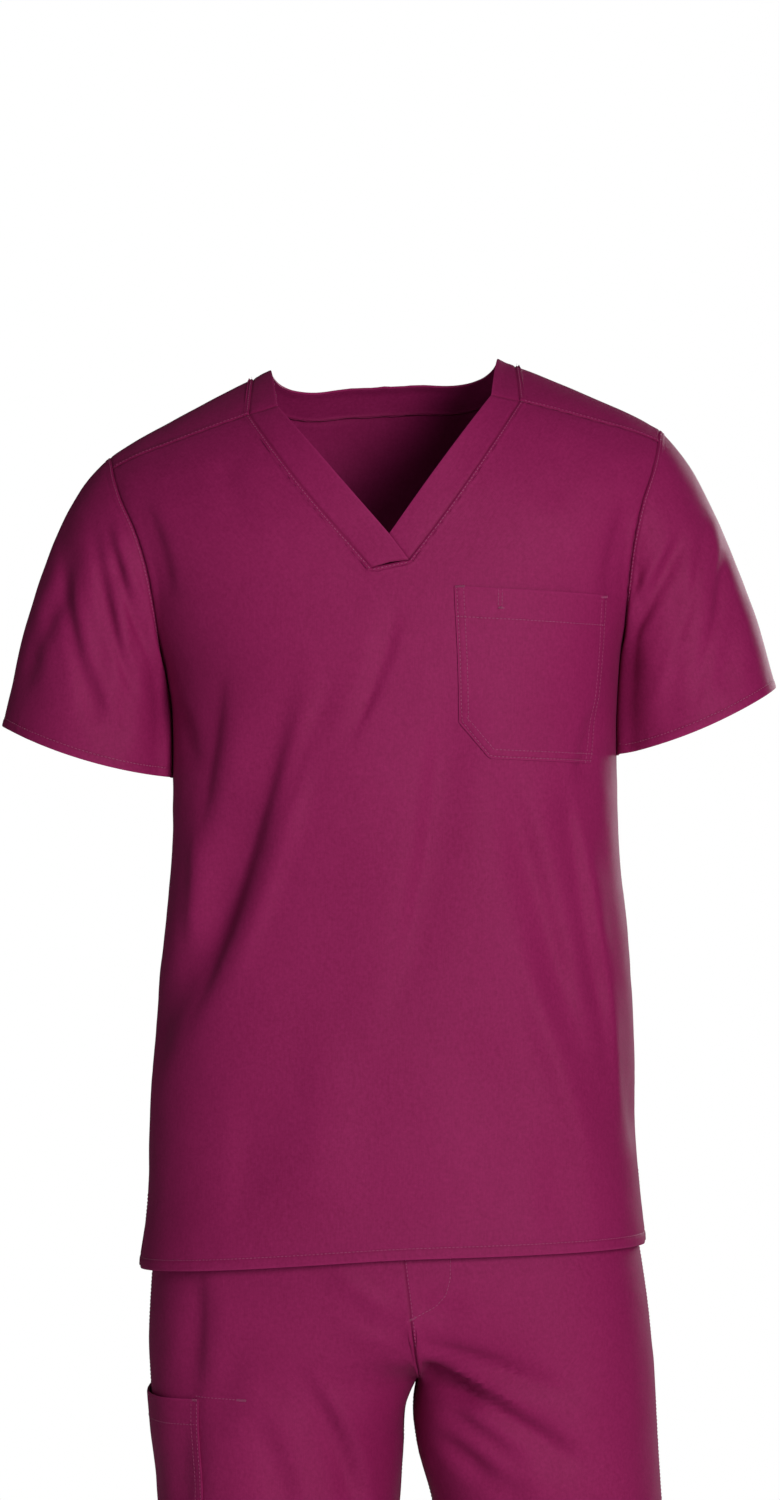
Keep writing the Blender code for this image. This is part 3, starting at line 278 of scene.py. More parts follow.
CREASES = {
    # Front of the top: drags from the underarms and the chest, soft drapes below them.
    ("top", FRONT): in_metres(Crease, """
    -126 -240 -149 -385 2 10 3.6 -450
    -113 -262 -136 -395 2 9 -1.6 200
    -66 -232 -164 -545 7.5 15 7.8 -450
    -46 -262 -132 -520 7.5 11 -4.6 -300
    -31 -236 -80 -372 -4 9 3.2 300
    14 -190 -32 -312 5 7 3.5 -400
    54 -225 2 -545 9 19 7.2 300
    89 -315 154 -550 4 15 8.6 -400
    143 -315 190 -610 0 8.5 -7 500
    100 -445 172 -665 -1 13 -6.6 200
    -146 -360 -154 -475 2 10 -4.1 300
    -172 -262 -150 -330 4 7 3.2
    172 -265 152 -345 -4 8 3 300
    68 -515 82 -690 3 24 3.6 300
    -36 -505 -52 -690 -3 22 -3.2
    -104 -560 -116 -700 3 18 2.8 300
    128 -600 142 -706 2 18 3
    -135 -75 -108 -140 4 12 1.9
    150 -60 126 -128 4 12 1.9
    -196 -105 -168 -205 6 10 3.5 -300
    198 -105 176 -200 -5 10 3.2 300
    """),
    # Back of the top.
    ("top", BACK): in_metres(Crease, """
    -172 -255 -110 -330 6 12 4.9 -300
    -168 -300 -120 -385 4 10 -3 -300
    174 -250 112 -325 -6 12 4.9 300
    170 -295 122 -390 -4 10 -3 300
    -120 -420 20 -462 10 14 5.7 -300
    -20 -400 130 -448 -8 13 4.9 -300
    -150 -500 -30 -520 8 13 4.2 -300
    40 -505 160 -490 8 12 3.8 300
    -130 -540 -145 -690 4 22 -4.2 -300
    100 -540 122 -690 4 22 -4.2 300
    -90 -110 -120 -220 4 22 2.7 -300
    92 -105 124 -215 -4 22 2.7 300
    -158 -335 -60 -505 6 14 4.6 -400
    150 -330 70 -480 -6 13 4.2 400
    6 -480 -18 -660 4 20 3.4 -300
    """),
    # Wearer's right sleeve, the fuller one.
    ("sleeve_right", FRONT): in_metres(Crease, """
    -259 -118 -214 -318 -10 8.5 4.1 300
    -249 -150 -202 -300 -9 6.5 -3.1
    -231 -120 -188 -282 -8 7 4.3 300
    -222 -145 -186 -276 -4 5 -2.9
    -221 -120 -180 -248 -4 5.5 3.6 300
    -214 -128 -190 -196 -2 5 -2.6
    -272 -170 -262 -262 -3 8 -1.9
    """),
    ("sleeve_right", BACK): in_metres(Crease, """
    -235 -120 -205 -235 -5 8 -4.2 -300
    -262 -140 -240 -262 -4 8 3.8 -300
    -215 -160 -196 -250 -3 6.5 3.8 -300
    """),
    # Wearer's left sleeve: the creases fan from the shoulder down to the underarm.
    ("sleeve_left", FRONT): in_metres(Crease, """
    242 -130 188 -232 2 7 4.6 -300
    233 -128 192 -200 1 5 -2.4
    200 -160 190 -205 1 5.5 3.6
    256 -128 217 -258 4 6 3.6 -300
    249 -140 211 -275 4 5.5 -2.9
    270 -140 237 -290 6 7.5 3.4 -300
    262 -110 250 -235 6 6 -2.6
    280 -180 272 -255 3 8 1.7
    """),
    ("sleeve_left", BACK): in_metres(Crease, """
    245 -115 212 -230 6 8 -4.2 300
    268 -140 250 -255 4 8 3.8 300
    222 -150 202 -245 3 6.5 3.8 300
    """),
    # Front of the trousers: drags across the fly and from the fork, breaks at knee and ankle.
    ("trousers", FRONT): in_metres(Crease, """
    8 -767 156 -820 4 6 5.2 300
    16 -788 162 -872 2 7.5 9 300
    12 -792 74 -830 2 11 7.8 300
    -134 -690 -139 -835 2 12 -4.2 400
    22 -779 130 -834 2 6 -4.6
    30 -820 116 -876 2 6 6.6 300
    36 -846 88 -884 1 6.5 4.7
    135 -850 196 -925 3 11 2.5
    -68 -788 -14 -935 10 9 7.8 -400
    -56 -800 -6 -900 8 7 -2.5
    -106 -815 -68 -930 6 11 4.4 -300
    -110 -760 -130 -860 -4 12 2.2
    -46 -706 16 -752 -3 7 -2.8
    -36 -764 14 -772 1 6 -2.5
    20 -735 70 -748 -3 8 1.6
    -128 -1155 -70 -1172 4 9 3.8
    -40 -1225 -120 -1262 4 11 4.2
    130 -1160 190 -1182 4 9 3.8
    118 -1245 205 -1268 4 11 4.2
    -140 -1470 -60 -1452 4 10 3.8
    -130 -1555 -40 -1548 3 8 3.8
    145 -1450 225 -1470 4 10 3.8
    165 -1545 250 -1552 3 8 3.8
    -85 -1290 -88 -1440 3 16 -2.9
    172 -1290 184 -1440 3 16 -2.9
    """),
    # Back of the trousers.
    ("trousers", BACK): in_metres(Crease, """
    -120 -800 -30 -838 4 12 3.4 -300
    70 -842 160 -800 4 12 3.4 300
    -105 -880 -60 -990 5 15 3.8 -300
    110 -885 150 -995 -5 15 3.8 300
    -140 -1120 -50 -1150 4 10 5.7 -300
    -130 -1215 -40 -1200 4 10 6.5 -300
    -135 -1245 -55 -1262 4 9 4.9 -300
    100 -1115 200 -1150 4 10 5.7 300
    115 -1200 215 -1218 4 10 6.5 300
    120 -1262 200 -1246 4 9 4.9 300
    -140 -1520 -50 -1540 4 9 4.9 -300
    150 -1525 245 -1540 4 9 4.9 300
    """),
}


# --- plain mathematics ---

def curve(t: Array, first: Amount, last: Amount, leave: Amount, arrive: Amount) -> Array:
    """A smooth curve from first to last, with given slopes at both ends, read at shares t."""
    start = (2 * t**3 - 3 * t**2 + 1) * first + (t**3 - 2 * t**2 + t) * leave
    return start + (3 * t**2 - 2 * t**3) * last + (t**3 - t**2) * arrive


def mix(first: Amount, second: Amount, share: Amount) -> Amount:
    """Goes from the first value to the second as share goes from 0 to 1."""
    return first + (second - first) * share


def way(at: Amount, start: Amount, end: Amount) -> Amount:
    """Share of the way from start to end."""
    return (at - start) / (end - start)


def unit(vectors: Array) -> Array:
    """Gives each vector the length 1."""
    return vectors / np.maximum(np.linalg.norm(vectors, axis=-1, keepdims=True), 1e-12)


def smooth(share: Amount) -> Amount:
    """Eases a share in and out, held between 0 and 1."""
    share = np.clip(share, 0.0, 1.0)
    return share**2 * (3.0 - 2.0 * share)


def bell(distance: Array, width: float) -> Array:
    """Falls from 1 at no distance towards 0 beyond the width."""
    return np.exp(-((distance / width) ** 2))


def spread(length: float, pitch: float, tight: Sequence[float], start: bool = True,
           end: bool = True) -> Array:
    """Shares along a length: even ones, and closer ones near its sewn ends.

    Args:
        length: The length.
        pitch: Largest step.
        tight: Distances from a sewn end.
        start: Whether the start is sewn.
        end: Whether the end is.

    Returns:
        Shares from 0 to 1.
    """
    near = np.array(tight) / length
    low = near if start else np.array([0.0])
    high = 1.0 - near[::-1] if end else np.array([1.0])
    count = max(int(round((high[0] - low[-1]) * length / pitch)), 1)
    between = np.linspace(low[-1], high[0], count + 1)[1:-1]
    return np.concatenate([low, between, high])


def travel(points: Array) -> Array:
    """Distance of each point of a polyline from its start, along it."""
    steps = np.linalg.norm(np.diff(points, axis=0), axis=1)
    return np.concatenate([[0.0], np.cumsum(steps)])


def read_at(wanted: Amount, places: Array, vectors: Array) -> Array:
    """Vectors at wanted places, on straight lines between known ones."""
    return np.stack([np.interp(wanted, places, vectors[:, axis]) for axis in range(3)], axis=-1)


def resample(points: Array, pitch: float) -> Array:
    """Points in even steps along a polyline, its ends kept.

    Args:
        points: Its corners.
        pitch: The step.

    Returns:
        The points.
    """
    places = travel(points)
    count = max(int(round(places[-1] / pitch)), 1) + 1
    return read_at(np.linspace(0.0, places[-1], count), places, points)


# --- objects ---

def add_object(name: str, data: bpy.types.ID) -> bpy.types.Object:
    """Puts an object into the scene.

    Args:
        name: Its name.
        data: What it shows.

    Returns:
        The object.
    """
    item = bpy.data.objects.new(name, data)
    bpy.context.scene.collection.objects.link(item)
    return item


def add_mesh(name: str, points: list, faces: list,
             material: bpy.types.Material) -> bpy.types.Object:
    """Puts a mesh into the scene.

    Args:
        name: Its name.
        points: Its vertices.
        faces: Its faces.
        material: Its finish.

    Returns:
        Its object.
    """
    mesh = bpy.data.meshes.new(name)
    mesh.from_pydata(points, [], faces)
    mesh.update()
    mesh.materials.append(material)
    return add_object(name, mesh)


# --- shader nodes ---

class Wire:
    """An output socket that takes part in sums, so that shader maths reads as Python."""

    def __init__(self, bench: "NodeBench", socket: bpy.types.NodeSocket) -> None:
        """Keeps the socket and the bench that its nodes stand on."""
        self.bench = bench
        self.socket = socket

    def maths(self, operation: str, *values: object) -> "Wire":
        """Adds a Math node whose inputs are wires or numbers."""
        node = self.bench.node("ShaderNodeMath", {"operation": operation}, dict(enumerate(values)))
        return self.bench.wire(node)

    def __add__(self, other: object) -> "Wire":
        """Sum."""
        return self.maths("ADD", self, other)

    __radd__ = __add__

    def __sub__(self, other: object) -> "Wire":
        """Difference."""
        return self.maths("SUBTRACT", self, other)

    def __rsub__(self, other: object) -> "Wire":
        """Difference, with this wire taken away."""
        return self.maths("SUBTRACT", other, self)

    def __mul__(self, other: object) -> "Wire":
        """Product."""
        return self.maths("MULTIPLY", self, other)

    __rmul__ = __mul__

    def sine(self) -> "Wire":
        """Sine of an angle in radians."""
        return self.maths("SINE", self)

    def clamped(self) -> "Wire":
        """The value held between 0 and 1."""
        return self.maths("MINIMUM", self.maths("MAXIMUM", self, 0.0), 1.0)


class NodeBench:
    """A material or a world, and the nodes that are added to it."""

    def __init__(self, owner: bpy.types.ID) -> None:
        """Starts from the owner's own shader.

        Args:
            owner: The material or world.
        """
        self.owner = owner
        self.owner.use_nodes = True
        self.tree = self.owner.node_tree
        self.shader = self.tree.nodes.get("Principled BSDF") or self.tree.nodes["Background"]

    def node(self, kind: str, settings: Optional[dict] = None,
             inputs: Optional[dict] = None) -> bpy.types.Node:
        """Adds any node.

        Args:
            kind: Blender's type name.
            settings: Properties, set before the inputs.
            inputs: Values or wires by socket name or number.

        Returns:
            The new node.
        """
        node = self.tree.nodes.new(kind)
        for name, value in (settings or {}).items():
            setattr(node, name, value)
        self.plug(node, inputs or {})
        return node

    def plug(self, node: bpy.types.Node, inputs: dict) -> None:
        """Feeds the sockets of a node.

        Args:
            node: The node.
            inputs: Values or wires by socket name or number.
        """
        for name, value in inputs.items():
            if isinstance(value, Wire):
                self.tree.links.new(value.socket, node.inputs[name])
            else:
                node.inputs[name].default_value = value

    def finish(self, inputs: dict) -> bpy.types.ID:
        """Feeds the owner's shader, and gives back the owner."""
        self.plug(self.shader, inputs)
        return self.owner

    def wire(self, node: bpy.types.Node, output: object = 0) -> Wire:
        """One output of a node as a wire."""
        return Wire(self, node.outputs[output])

    def blend(self, factor: object, first: object, second: object) -> Wire:
        """Mixes two colours by a factor."""
        return self.wire(self.node("ShaderNodeMix", {"data_type": "RGBA"},
                                   {0: factor, 6: first, 7: second}), 2)

    def place(self) -> Wire:
        """Place on the object, in metres."""
        return self.wire(self.node("ShaderNodeTexCoord"), "Object")

    def field(self, name: str) -> Wire:
        """A field of the mesh."""
        return self.wire(self.node("ShaderNodeAttribute", {"attribute_name": name}), "Fac")

    def speckle(self, scale: float, detail: float, vector: Wire) -> Wire:
        """Noise between 0 and 1 at a scale, read at a vector."""
        return self.wire(self.node("ShaderNodeTexNoise", None,
                                   {"Scale": scale, "Detail": detail, "Vector": vector}), "Fac")

    def bump(self, strength: float, distance: float, height: Wire) -> Wire:
        """Fine relief, as a normal."""
        return self.wire(self.node("ShaderNodeBump", None,
                                   {"Strength": strength, "Distance": distance, "Height": height}))


@dataclass(frozen=True)
class ClothFinish:
    """Plum poplin: a fine weave with small flecks, painted shade in the seams, paler on folds."""

    name: str = "plum_poplin"
    base: tuple = (0.232, 0.0070, 0.0770, 1.0)
    pale: tuple = (0.295, 0.0170, 0.1060, 1.0)
    deep: tuple = (0.150, 0.0035, 0.0430, 1.0)
    yarn_pitch: float = 0.00062
    fleck_scale: float = 900.0
    mottle_scale: float = 430.0
    cloud_scale: float = 7.0
    slub_scale: tuple = (1400.0, 90.0, 1.0)
    base_share: float = 0.45
    # How far the seam field darkens the colour: painted shade in seam grooves and stitch lines.
    seam_shade_share: float = 0.70
    rub_share: float = 0.45
    roughness: float = 0.61
    roughness_range: float = 0.10
    sheen: float = 0.015
    sheen_roughness: float = 0.45
    sheen_tint: tuple = (1.0, 0.62, 0.80, 1.0)
    gloss: float = 0.14
    weave_strength: float = 0.22
    weave_depth: float = 0.0003

    def material(self) -> bpy.types.Material:
        """Builds the material.

        Returns:
            The material.
        """
        bench = NodeBench(bpy.data.materials.new(self.name))
        uv = bench.wire(bench.node("ShaderNodeUVMap", {"uv_map": "cloth"}))
        apart = bench.node("ShaderNodeSeparateXYZ", None, {0: uv})
        across = bench.wire(apart, 0)
        down = bench.wire(apart, 1)
        turn = 2.0 * math.pi / self.yarn_pitch
        weave = (across * turn).sine() * (down * turn).sine() * 0.6
        weave = weave + ((across + down) * (turn * 0.5)).sine() * 0.4
        place = bench.place()
        fleck = bench.speckle(self.fleck_scale, 2.0, place)
        mottle = bench.speckle(self.mottle_scale, 2.0, place)
        cloud = bench.speckle(self.cloud_scale, 3.0, place)
        stretched = bench.node("ShaderNodeMapping", {"vector_type": "POINT"},
                               {"Vector": uv, "Scale": self.slub_scale})
        slub = bench.speckle(1.0, 2.0, bench.wire(stretched))
        tone = fleck * 0.6 + mottle + slub * 0.7 + cloud * 0.5 - 0.95 + weave * 0.06
        colour = bench.blend(tone.clamped(), self.deep, self.pale)
        colour = bench.blend(self.base_share, colour, self.base)
        # Painted shade: darker towards the deep colour in seam grooves and along stitch lines.
        colour = bench.blend((bench.field("seam") * self.seam_shade_share).clamped(), colour, self.deep)
        colour = bench.blend((bench.field("rub") * self.rub_share).clamped(), colour, self.pale)
        relief = weave * 0.5 + fleck * 0.6 + slub * 0.4
        return bench.finish({
            "Base Color": colour,
            "Roughness": fleck * self.roughness_range + self.roughness,
            "Normal": bench.bump(self.weave_strength, self.weave_depth, relief),
            "Sheen Weight": self.sheen,
            "Sheen Roughness": self.sheen_roughness,
            "Sheen Tint": self.sheen_tint,
            "Specular IOR Level": self.gloss,
        })


@dataclass(frozen=True)
class ThreadFinish:
    """Sewing thread, smoother than the cloth with a fine twist; paler partly in colour, partly by
    painted sheen.
    """

    name: str = "plum_thread"
    # Paler than the cloth: partly the thread's own colour, partly painted sheen.
    pale: tuple = (0.365, 0.0440, 0.1570, 1.0)
    deep: tuple = (0.220, 0.0160, 0.0820, 1.0)
    twist_scale: float = 2600.0
    drift_scale: float = 40.0
    roughness: float = 0.43
    roughness_range: float = 0.15
    sheen: float = 0.15

    def material(self) -> bpy.types.Material:
        """Builds the material.

        Returns:
            The material.
        """
        bench = NodeBench(bpy.data.materials.new(self.name))
        place = bench.place()
        twist = bench.speckle(self.twist_scale, 1.0, place)
        tone = twist * 0.7 + bench.speckle(self.drift_scale, 2.0, place) * 0.6 - 0.15
        return bench.finish({
            "Base Color": bench.blend(tone.clamped(), self.deep, self.pale),
            "Roughness": twist * self.roughness_range + self.roughness,
            "Normal": bench.bump(0.3, 0.0001, twist),
            "Sheen Weight": self.sheen,
        })


@dataclass(frozen=True)
class FloorFinish:
    """Pale matt floor."""

    name: str = "studio_floor"
    pale: tuple = (0.80, 0.80, 0.81, 1.0)
    shade: tuple = (0.74, 0.74, 0.75, 1.0)
    grain_scale: float = 300.0

    def material(self) -> bpy.types.Material:
        """Builds the material.

        Returns:
            The material.
        """
        bench = NodeBench(bpy.data.materials.new(self.name))
        grain = bench.speckle(self.grain_scale, 3.0, bench.place())
        return bench.finish({
            "Base Color": bench.blend(grain, self.shade, self.pale),
            "Roughness": grain * 0.1 + 0.85,
        })


# --- cloth as grids of points ---

class Line(NamedTuple):
    """A line of a panel's grid, and the line beside it, inside the cloth."""

    at: tuple
    beside: tuple

    @classmethod
    def row(cls, row: int, step: int, columns: slice = ALL) -> "Line":
        """A stretch of a row, with the cloth a step of rows away."""
        return cls((row, columns), (row + step, columns))

    @classmethod
    def column(cls, column: int, step: int, rows: slice = ALL) -> "Line":
        """A stretch of a column, with the cloth a step of columns away."""
        return cls((rows, column), (rows, column + step))


FIRST_ROW = Line.row(0, 1)
LAST_ROW = Line.row(-1, -1)


def side_lines(rows: slice = ALL) -> tuple:
    """The first and the last column of a grid."""
    return Line.column(0, 1, rows), Line.column(-1, -1, rows)


class Edge(NamedTuple):
    """A sewn or folded edge: its points, the way from each into the cloth, and out of it."""

    points: Array
    inward: Array
    normal: Array

    def part(self, kept: object) -> "Edge":
        """Some of its points."""
        return Edge(*(values[kept] for values in self))


class SeamEdge(NamedTuple):
    """A settled edge, the points next to it inside the cloth, and its normals."""

    points: Array
    inner: Array
    normal: Array

    def joined(self, other: "SeamEdge") -> "SeamEdge":
        """This edge and then the other one, run backwards."""
        return SeamEdge(*(np.concatenate([mine, more[::-1]]) for mine, more in zip(self, other)))

    def behind(self) -> list:
        """Two rows of points behind the cloth, from further in to under the edge."""
        inward = unit(self.inner - self.points) * TURN_IN
        return [self.points + inward - self.normal * 0.0012, self.points - self.normal * 0.0014]


def seam_bridge(first: SeamEdge, second: SeamEdge) -> Array:
    """A strip behind a seam, from under one piece to under the other, as rows of points."""
    return np.array(first.behind() + second.behind()[::-1])


class Finish(Enum):
    """How an edge of a panel is finished."""

    SEAM = "seam"
    LAPPED = "lapped"
    HEM = "hem"
    FOLDED = "folded"


@dataclass
class Panel:
    """One piece of cloth: a grid of points on its outside, in place and pose.

    There is no cloth where a point is nan. Lift, seam, rub, extra and hold are grids too: how far
    the cloth stands out, how much painted shade darkens it in seam grooves and along stitch lines,
    how rubbed it is, its spare thickness, and how far it is free to crease.
    """

    name: str
    points: Array
    garment: str
    inside: tuple
    thickness: float = 0.0009
    sharp_angle: float = 50.0
    allowance_rows: tuple = ((0.0040, 0.0012), (0.0010, 0.0015), (-0.0005, 0.0017),
                             (-0.0016, 0.0020))
    backed: list = field(default_factory=list)
    strips: list = field(default_factory=list)

    def __post_init__(self) -> None:
        """Starts what is worked out point by point."""
        shape = self.points.shape[:2]
        self.lift, self.seam, self.rub, self.extra = np.zeros((4, *shape))
        self.hold = np.ones(shape)
        self.normal = grid_normals(self.points, np.array(self.inside))

    def edge(self, line: Line) -> Edge:
        """An edge of the grid.

        Args:
            line: Where it runs.

        Returns:
            The edge, where there is cloth.
        """
        points = self.points[line.at]
        inward = self.points[line.beside] - points
        there = ~np.isnan(points[:, 0]) & ~np.isnan(inward[:, 0])
        points = points[there]
        inward = inward[there]
        along = unit(np.gradient(points, axis=0))
        inward = unit(inward - along * np.sum(inward * along, axis=1, keepdims=True))
        return Edge(points, inward, self.normal[line.at][there])

    def edges(self, *lines: Line) -> list:
        """Several edges of the grid."""
        return [self.edge(line) for line in lines]

    def seam_edge(self, line: Line) -> SeamEdge:
        """An edge of the settled cloth."""
        return SeamEdge(self.points[line.at], self.points[line.beside], self.normal[line.at])

    def distance(self, edge: Edge) -> tuple:
        """How each point lies to an edge.

        Args:
            edge: The edge.

        Returns:
            Two grids: distance from it, or 1 where it is out of reach, and place along it.
        """
        path = resample(edge.points, EDGE_PITCH)
        tree = KDTree(len(path))
        for number, point in enumerate(path):
            tree.insert(Vector(point), number)
        tree.balance()
        low = path.min(axis=0) - SEWN_REACH
        high = path.max(axis=0) + SEWN_REACH
        near = np.all((self.points > low) & (self.points < high), axis=-1)
        distance = np.full(near.shape, 1.0)
        along = np.zeros(near.shape)
        for row, column in zip(*np.nonzero(near)):
            _, number, away = tree.find(Vector(self.points[row, column]))
            distance[row, column] = away
            along[row, column] = number * EDGE_PITCH
        return distance, along

    def sew(self, finish: Finish, stitch: float, seed: float, *edges: Edge) -> None:
        """Shapes the cloth along edges as their sewing pulls it.

        Args:
            finish: How they are finished.
            stitch: Distance of the stitches from the edge, or 0 for none.
            seed: Sets the puckers of the first edge apart, and one more for each further edge.
            edges: The edges.
        """
        for number, edge in enumerate(edges):
            phase = seed + number
            distance, along = self.distance(edge)
            width = max(stitch, 0.004)
            turns = along * 2 * math.pi
            ripple = (np.sin(turns / 0.0093 + phase) + np.sin(turns / 0.0147 + phase * 2.3)) * 0.5
            ripple *= 0.6 + 0.4 * np.sin(turns / 0.083 + phase * 1.7)
            if finish in (Finish.SEAM, Finish.LAPPED):
                groove = bell(distance, 0.0011)
                self.lift += 0.00012 * ripple * bell(distance, 0.006) - 0.0006 * groove
                # Painted shade: the seam field darkens the cloth in the groove.
                self.seam = np.maximum(self.seam, groove)
            if finish is Finish.LAPPED:
                inside_lap = 1.0 - smooth((distance - width) / 0.0015)
                self.lift += 0.00055 * inside_lap * smooth(distance / 0.001)
            if finish in (Finish.HEM, Finish.FOLDED):
                inside_hem = 1.0 - smooth((distance - width + 0.0008) / 0.0016)
                self.extra += 0.0007 * inside_hem
                self.lift -= 0.00045 * bell(distance, 0.0007)
                self.rub = np.maximum(self.rub, bell(distance, 0.0012))
            if finish is Finish.HEM:
                self.lift += 0.00035 * inside_hem + 0.00022 * ripple * bell(distance - width, 0.006)
            else:
                self.hold = np.minimum(self.hold, smooth(distance / 0.009))
            if stitch > 0.0:
                self.lift -= 0.00032 * bell(distance - stitch, 0.0009)
                # Painted shade along the sunken line of stitches.
                self.seam = np.maximum(self.seam, 0.45 * bell(distance - stitch, 0.0010))

    def settle(self) -> None:
        """Moves the points by their creases, unevenness and sewing."""
        creases = crease_depth(self.garment, self.points, self.normal)
        self.move(self.lift - (creases - unevenness(self.points)) * self.hold)

    def move(self, shift: Array, direction: Optional[Array] = None) -> None:
        """Moves the points, and makes the search tree anew.

        Args:
            shift: How far each one goes.
            direction: Where to, or None for outwards.
        """
        direction = self.normal if direction is None else direction
        self.points = self.points + direction * shift[..., None]
        self.normal = grid_normals(self.points, np.array(self.inside))
        there, corners = self.faces()
        self.tree = BVHTree.FromPolygons(self.points[there].tolist(), corners.tolist())

    def faces(self) -> tuple:
        """Where there is cloth, and the faces between those points."""
        there = ~np.isnan(self.points[..., 0])
        return there, grid_faces(there, np.cumsum(there.ravel()).reshape(there.shape) - 1)

    def beside(self, edge: Edge, distance: float) -> tuple:
        """Points and normals of a line on the cloth at a distance from an edge."""
        return self.on_surface(resample(edge.points + edge.inward * distance, LINE_PITCH))

    def on_surface(self, targets: Array) -> tuple:
        """Lays points onto the outside.

        Args:
            targets: Points near it.

        Returns:
            The nearest points, and the normals there.
        """
        found = [self.tree.find_nearest(Vector(target)) for target in targets]
        points = np.array([place for place, _, _, _ in found])
        normals = np.array([normal for _, normal, _, _ in found])
        outward = points - np.array(self.inside)
        return points, normals * np.sign(np.sum(normals * outward, axis=1, keepdims=True))

    def front_line(self, *corners: tuple) -> tuple:
        """A line drawn as seen from the front, laid onto the cloth.

        Args:
            corners: Its corners as x and z.

        Returns:
            Points and normals.
        """
        flat = np.array([(x, 0.0, z) for x, z in corners])
        points = []
        normals = []
        for x, _, z in resample(flat, LINE_PITCH):
            start = Vector((x, FRONT, z))
            place, normal, _, _ = self.tree.ray_cast(start, Vector((0.0, -FRONT, 0.0)))
            if place is not None:
                points.append(place)
                normals.append(normal if normal.y < 0 else -normal)
        return np.array(points), np.array(normals)

    def allowance(self, line: Line) -> Array:
        """Rows of points of a strip that continues the cloth under its neighbour at a seam."""
        edge = self.edge(line)
        return np.array([edge.points + edge.inward * reach - edge.normal * depth
                         for reach, depth in self.allowance_rows])

    def shell(self, material: bpy.types.Material) -> bpy.types.Object:
        """Makes the piece: a closed thin shell, with the strips behind its seams.

        Args:
            material: Its finish.

        Returns:
            Its object.
        """
        there, corners = self.faces()
        outer = self.points[there]
        normal = self.normal[there]
        wall = (self.thickness + self.extra)[there][:, None]
        points = np.concatenate([outer, outer - normal * wall])
        faces = closed_faces(corners, len(outer))
        first, second, third, fourth = (outer[corners[:, corner]] for corner in range(4))
        facing = np.cross(third - first, fourth - second)
        if np.sum(facing * normal[corners[:, 0]]) < 0:
            faces = [face[::-1] for face in faces]
        for strip in self.strips + [self.allowance(line) for line in self.backed]:
            strip_points, strip_faces = strip_shell(strip, len(points))
            points = np.concatenate([points, strip_points])
            faces += strip_faces
        piece = add_mesh(self.name + "_cloth", points.tolist(), faces, material)
        self.dress(piece.data, there)
        piece.data.shade_smooth()
        piece.data.set_sharp_from_angle(angle=math.radians(self.sharp_angle))
        return piece

    def dress(self, mesh: bpy.types.Mesh, there: Array) -> None:
        """Gives the mesh its map in real size and its fields.

        Args:
            mesh: The shell: outside, inside, strips.
            there: Where the grid has cloth.
        """
        uv = self.map_points()[there]
        spare = len(mesh.vertices) - 2 * len(uv)
        uv = np.concatenate([uv, uv, np.zeros((spare, 2))])
        vertex = np.empty(len(mesh.loops), dtype=np.int64)
        mesh.loops.foreach_get("vertex_index", vertex)
        mesh.uv_layers.new(name="cloth").data.foreach_set("uv", uv[vertex].ravel())
        # seam carries painted shade and rub carries wear; the inside takes half of each, the strips
        # 0.5.
        for name, values in (("seam", self.seam[there]), ("rub", self.rub[there])):
            values = np.concatenate([values, values * 0.5, np.full(spare, 0.5)])
            attribute = mesh.attributes.new(name, "FLOAT", "POINT")
            attribute.data.foreach_set("value", values.astype(np.float32))

    def map_points(self) -> Array:
        """Lays the cloth flat.

        Returns:
            Where each point lies, in metres from the grain line.
        """
        across, down = (np.nan_to_num(np.linalg.norm(np.diff(self.points, axis=axis), axis=-1))
                        for axis in (1, 0))
        across = np.pad(np.cumsum(across, axis=1), ((0, 0), (1, 0)))
        down = np.pad(np.cumsum(down, axis=0), ((1, 0), (0, 0)))
        grain = across.shape[1] // 2
        return np.stack([across - across[:, grain:grain + 1], down], axis=-1)


def strip_shell(rows: Array, start: int) -> tuple:
    """Makes a closed shell of a strip.

    Args:
        rows: Its points, row by row.
        start: Number of the first one.

    Returns:
        Its points and faces.
    """
    flat = rows.reshape(-1, 3)
    normal = grid_normals(rows, flat.mean(axis=0)).reshape(-1, 3)
    number = np.arange(len(flat)).reshape(rows.shape[:2]) + start
    corners = grid_faces(np.ones(rows.shape[:2], dtype=bool), number)
    return np.concatenate([flat, flat - normal * STRIP_WALL]), closed_faces(corners, len(flat))


def closed_faces(corners: Array, count: int) -> list:
    """Faces of a closed shell.

    Args:
        corners: Faces of its outside.
        count: How much higher the numbers of its inside are.

    Returns:
        The faces of the outside, the inside and the rim.
    """
    starts = corners.ravel().tolist()
    ends = np.roll(corners, -1, axis=1).ravel().tolist()
    known = set(zip(ends, starts))
    rim = [(a, b) for a, b in zip(starts, ends) if (a, b) not in known]
    inner = (corners[:, ::-1] + count).tolist()
    return corners.tolist() + inner + [(b, a, a + count, b + count) for a, b in rim]


def grid_faces(there: Array, number: Array) -> Array:
    """Faces of a grid, four corners each, where all four are there."""
    whole = np.all([there[quarter] for quarter in QUARTERS], axis=0)
    return np.stack([number[quarter] for quarter in QUARTERS], axis=-1)[whole]


def grid_normals(points: Array, inside: Array) -> Array:
    """Normals of a grid, from the faces around each point.

    Args:
        points: The grid.
        inside: A place that they point away from.

    Returns:
        The normals.
    """
    rising = points[1:, 1:] - points[:-1, :-1]
    falling = points[1:, :-1] - points[:-1, 1:]
    face = unit(np.nan_to_num(np.cross(rising, falling)))
    normal = np.zeros_like(points)
    for quarter in QUARTERS:
        normal[quarter] += face
    normal = unit(normal)
    return -normal if np.sum(normal * np.nan_to_num(points - inside)) < 0 else normal


